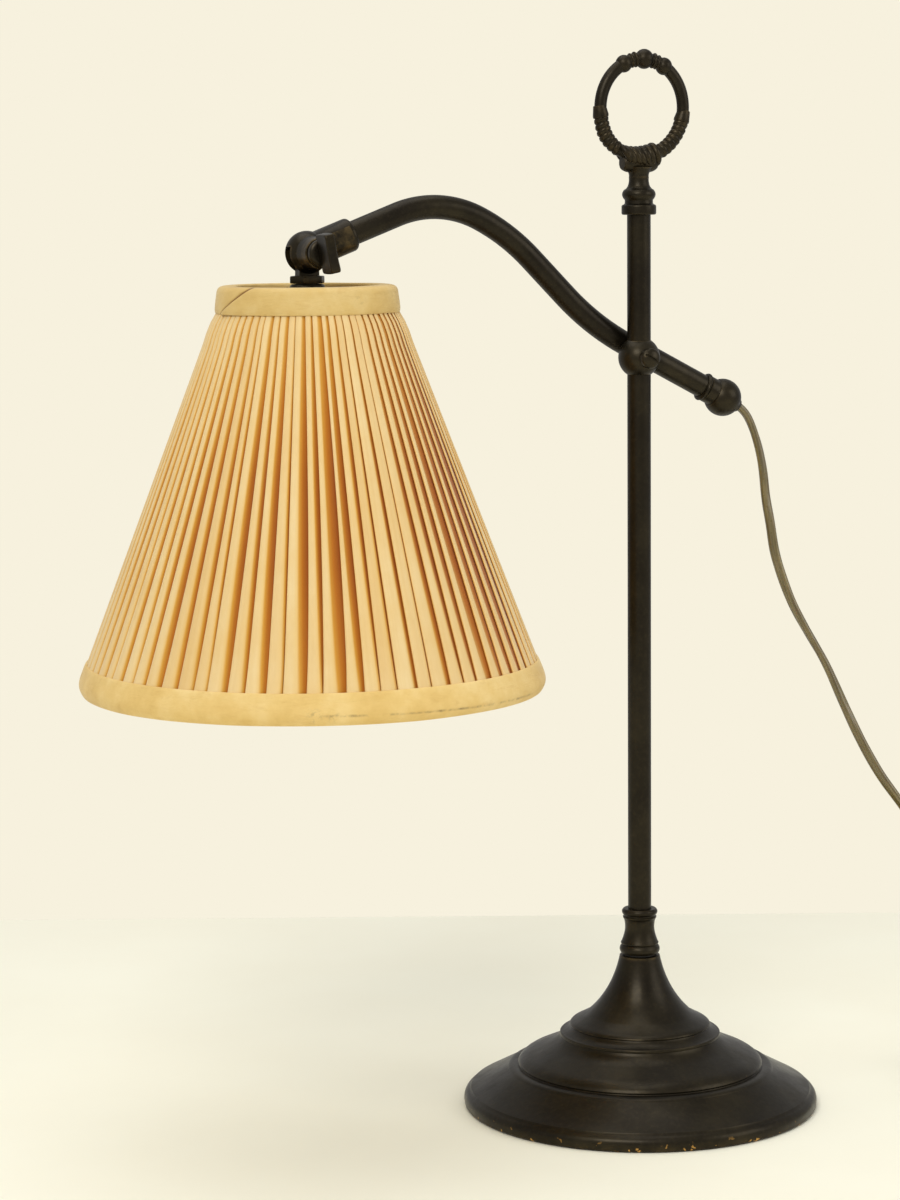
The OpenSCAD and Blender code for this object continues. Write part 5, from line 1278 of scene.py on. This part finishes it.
def makeHolder():
    cap = [(5.05, -1.6), (5.05, 0), *bow((8, 0), (14.05, -1.5), (18.05, -11), 12), (18.05, -13.6), (18.35, -14), (18.35, -14.6),
           (18.05, -14.9), (18.05, -20), (17.15, -20), *bow((17.15, -11.9), (13.15, -2.4), (7.1, -0.9), 8), (6.6, -1.6), (5.05, -1.6)]
    piece = turned("holderCap", cap, holder, 96, 30)
    cutOut(piece, rod("keyBore", placeAt(knee.x, knee.y, knee.z - 33.2, 0, 90), 1.6, 8, 26, 24))
    bpy.ops.object.shade_smooth_by_angle(angle=math.radians(32))
    finishPiece(piece, "head", brass, "brass", "holder_cap")
    skirt = [(18.1, -15), (18.6, -15), (19, -15.4), (19, -20), (19.35, -20.8), (19, -21.6), (19, -47), (19.3, -48),
             (19, -49), (19, -53), *bow((19.4, -53.6), (20.2, -54.2), (19.6, -55), 5), (18.1, -55), (18.1, -15)]
    piece = turned("holderSkirt", skirt, holder, 96, 30)
    finishPiece(piece, "head", brass, "brass", "holder_skirt")
    shell = []
    for i in range(9):                     # rolled thread of the screw shell
        z = -52 + i * 2.45
        shell += [(13.55, z), (14.15, z + 1.2)]
    shell += [(13.55, -30.6)]
    inner = [(r - 0.05 if r > 13.9 else r - 0.05, z) for r, z in reversed(shell)]
    line = [(14.2, -52)] + [(14.2, -30.6)] + [(r, z) for r, z in inner] + [(14.2, -52)]
    piece = turned("holderShell", line, holder, 72, 40)
    finishPiece(piece, "head", brass, "brass", "holder_shell")
    place = placeAt(knee.x, knee.y, knee.z - 33.2, 0, 90)
    key = turned("switchKey", [(0, 3), (1.5, 3), (1.5, 21), (2.7, 21), (3, 21.3), (3, 23.7), (2.7, 24), (1.5, 24), (1.5, 26), (0, 26)],
                 place, 32, 30)
    lobes = [(8.2 * math.cos(a) if abs(math.cos(a)) > 0.2 else 8.2 * math.cos(a), 3.2 * math.sin(a) * (1 - 0.35 * math.cos(a) ** 8 * 0))
             for a in (turn * i / 40 for i in range(40))]
    lobes = [(x, y * (0.62 + 0.38 * min(1, (abs(x) / 5) ** 2))) for x, y in lobes]
    paddle = cutShape("keyPaddle", lobes, place @ Matrix.Translation((0, 0, 25.0)), 2.4)
    softenEdges(paddle, 0.7, 3, 40)
    piece = joinAll("switchKey", [key, paddle])
    finishPiece(piece, "switch_key", bronzeWorn, "bronze", "switch_key")

    tip = placeAt(knee.x, knee.y, knee.z - 20.2 - 33.1)
    thread = [(0, 0), (3.4, 0), (3.6, -0.3), (4.6, -1.4), (10.6, -3.4)]
    for i in range(9):
        z = -4.4 - i * 1.9
        thread += [(12.7 - (i % 2) * 0.8, z)] if i in (0, 8) else [(12.75 - (i % 2) * 0.85, z + 0.3), (12.75 - (i % 2) * 0.85, z - 0.3)]
    thread += [(12.8, -21), (12.8, -25), (11.6, -25), (11.6, -21), (0, -21)]
    piece = turned("bulbCap", thread, tip, 96, 60)
    finishPiece(piece, "head", capAlloy, "cap_alloy", "bulb_cap")
    neck, globe, end = 12.8, 30, 79
    glass = [(neck, 0), *bow((neck, -3), (neck + 1, -14), (globe * 0.8, -end + globe * 1.6), 14),
             *[(globe * math.cos(math.radians(a)), -end + globe + globe * math.sin(math.radians(a))) for a in range(34, -90, -4)],
             (0, -end)]
    inner = [(max(0, r - 0.8), z + (0.7 if z < -end + globe else 0)) for r, z in reversed(glass)]
    piece = turned("bulbGlass", glass + inner + [glass[0]], placeAt(knee.x, knee.y, knee.z - 78.3), 96, 60)
    finishPiece(piece, "head", opal, "opal_glass", "bulb_glass")


makeHolder()
print("lampholder and bulb made")


# CAD nodes that keep their own shape get their finish here

keptNodes = {"base_bush": brass, "base_weight": iron, "base_plate": steel, "base_screws": steel, "base_felt": felt,
             "post_stud": steel, "stud_washer": steel, "stud_nut": steel, "inner_lead": cordSkin, "nipple": steel,
             "holder_core": china, "centre_contact": brass, "head_lead": cordSkin}
for node, finish in keptNodes.items():
    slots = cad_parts[node].data.materials
    if len(slots):
        for i in range(len(slots)):
            slots[i] = finish
    else:
        slots.append(finish)


# floor, world and lights

def floorFinish():
    m = finishMaker("paleFloor", Specular_IOR_Level=0.2)
    cloud = m.noise(6, 4, 0.5)
    colour = m.ramp(cloud, (0.35, linear(252, 249, 230)), (0.65, linear(254, 252, 234)))
    return m.set(Base_Color=colour, Roughness=0.75)


deselectAll()
away = math.radians(-view["turnedBy"][2])        # the table's far edge lies square to the camera's view
floorDepth, floorWidth, farEdge = 1.9, 3.0, 0.463
behind = farEdge - floorDepth / 2
bpy.ops.mesh.primitive_plane_add(size=1, location=(behind * math.sin(away), behind * math.cos(away), 0),
                                 rotation=(0, 0, -away))
floor = bpy.context.object
floor.name = "paleFloor"
floor.scale = (floorWidth, floorDepth, 1)
bpy.ops.object.transform_apply(location=True, rotation=True, scale=True)
floor.data.materials.append(floorFinish())

world = bpy.data.worlds.new("studio")
bpy.context.scene.world = world
world.use_nodes = True
tree = world.node_tree
tree.nodes.clear()
seen = tree.nodes.new("ShaderNodeBackground")
seen.inputs[0].default_value = linear(247, 241, 222)
lighting = tree.nodes.new("ShaderNodeBackground")
lighting.inputs[0].default_value = (1.0, 0.985, 0.955, 1)
lighting.inputs[1].default_value = 0.5
mix = tree.nodes.new("ShaderNodeMixShader")
path = tree.nodes.new("ShaderNodeLightPath")
either = tree.nodes.new("ShaderNodeMath")
either.operation = "MAXIMUM"
tree.links.new(path.outputs["Is Camera Ray"], either.inputs[0])
tree.links.new(path.outputs["Is Transmission Ray"], either.inputs[1])
tree.links.new(either.outputs[0], mix.inputs[0])
tree.links.new(lighting.outputs[0], mix.inputs[1])
tree.links.new(seen.outputs[0], mix.inputs[2])
result = tree.nodes.new("ShaderNodeOutputWorld")
tree.links.new(mix.outputs[0], result.inputs[0])


def addLamp(name, place, aim, size, power, shade=(1, 1, 1)):
    deselectAll()
    bpy.ops.object.light_add(type="AREA", location=place)
    lamp = bpy.context.object
    lamp.name = name
    lamp.rotation_euler = (Vector(aim) - Vector(place)).to_track_quat("-Z", "Y").to_euler()
    lamp.data.shape = "RECTANGLE"
    lamp.data.size, lamp.data.size_y = size
    lamp.data.energy = power
    lamp.data.color = shade


addLamp("keyLamp", (-1.4, -1.6, 1.9), (-0.05, 0, 0.25), (1.2, 1.2), 28, (1, 0.985, 0.96))
addLamp("fillLamp", (1.6, -1.5, 1.2), (-0.1, 0, 0.3), (1.4, 1.4), 12, (1, 0.99, 0.97))
addLamp("topLamp", (-0.3, 0.2, 2.2), (-0.1, 0, 0.2), (1.6, 1.6), 14)

scene = bpy.context.scene
scene.view_settings.view_transform = "Standard"
print("floor, world and lights made")
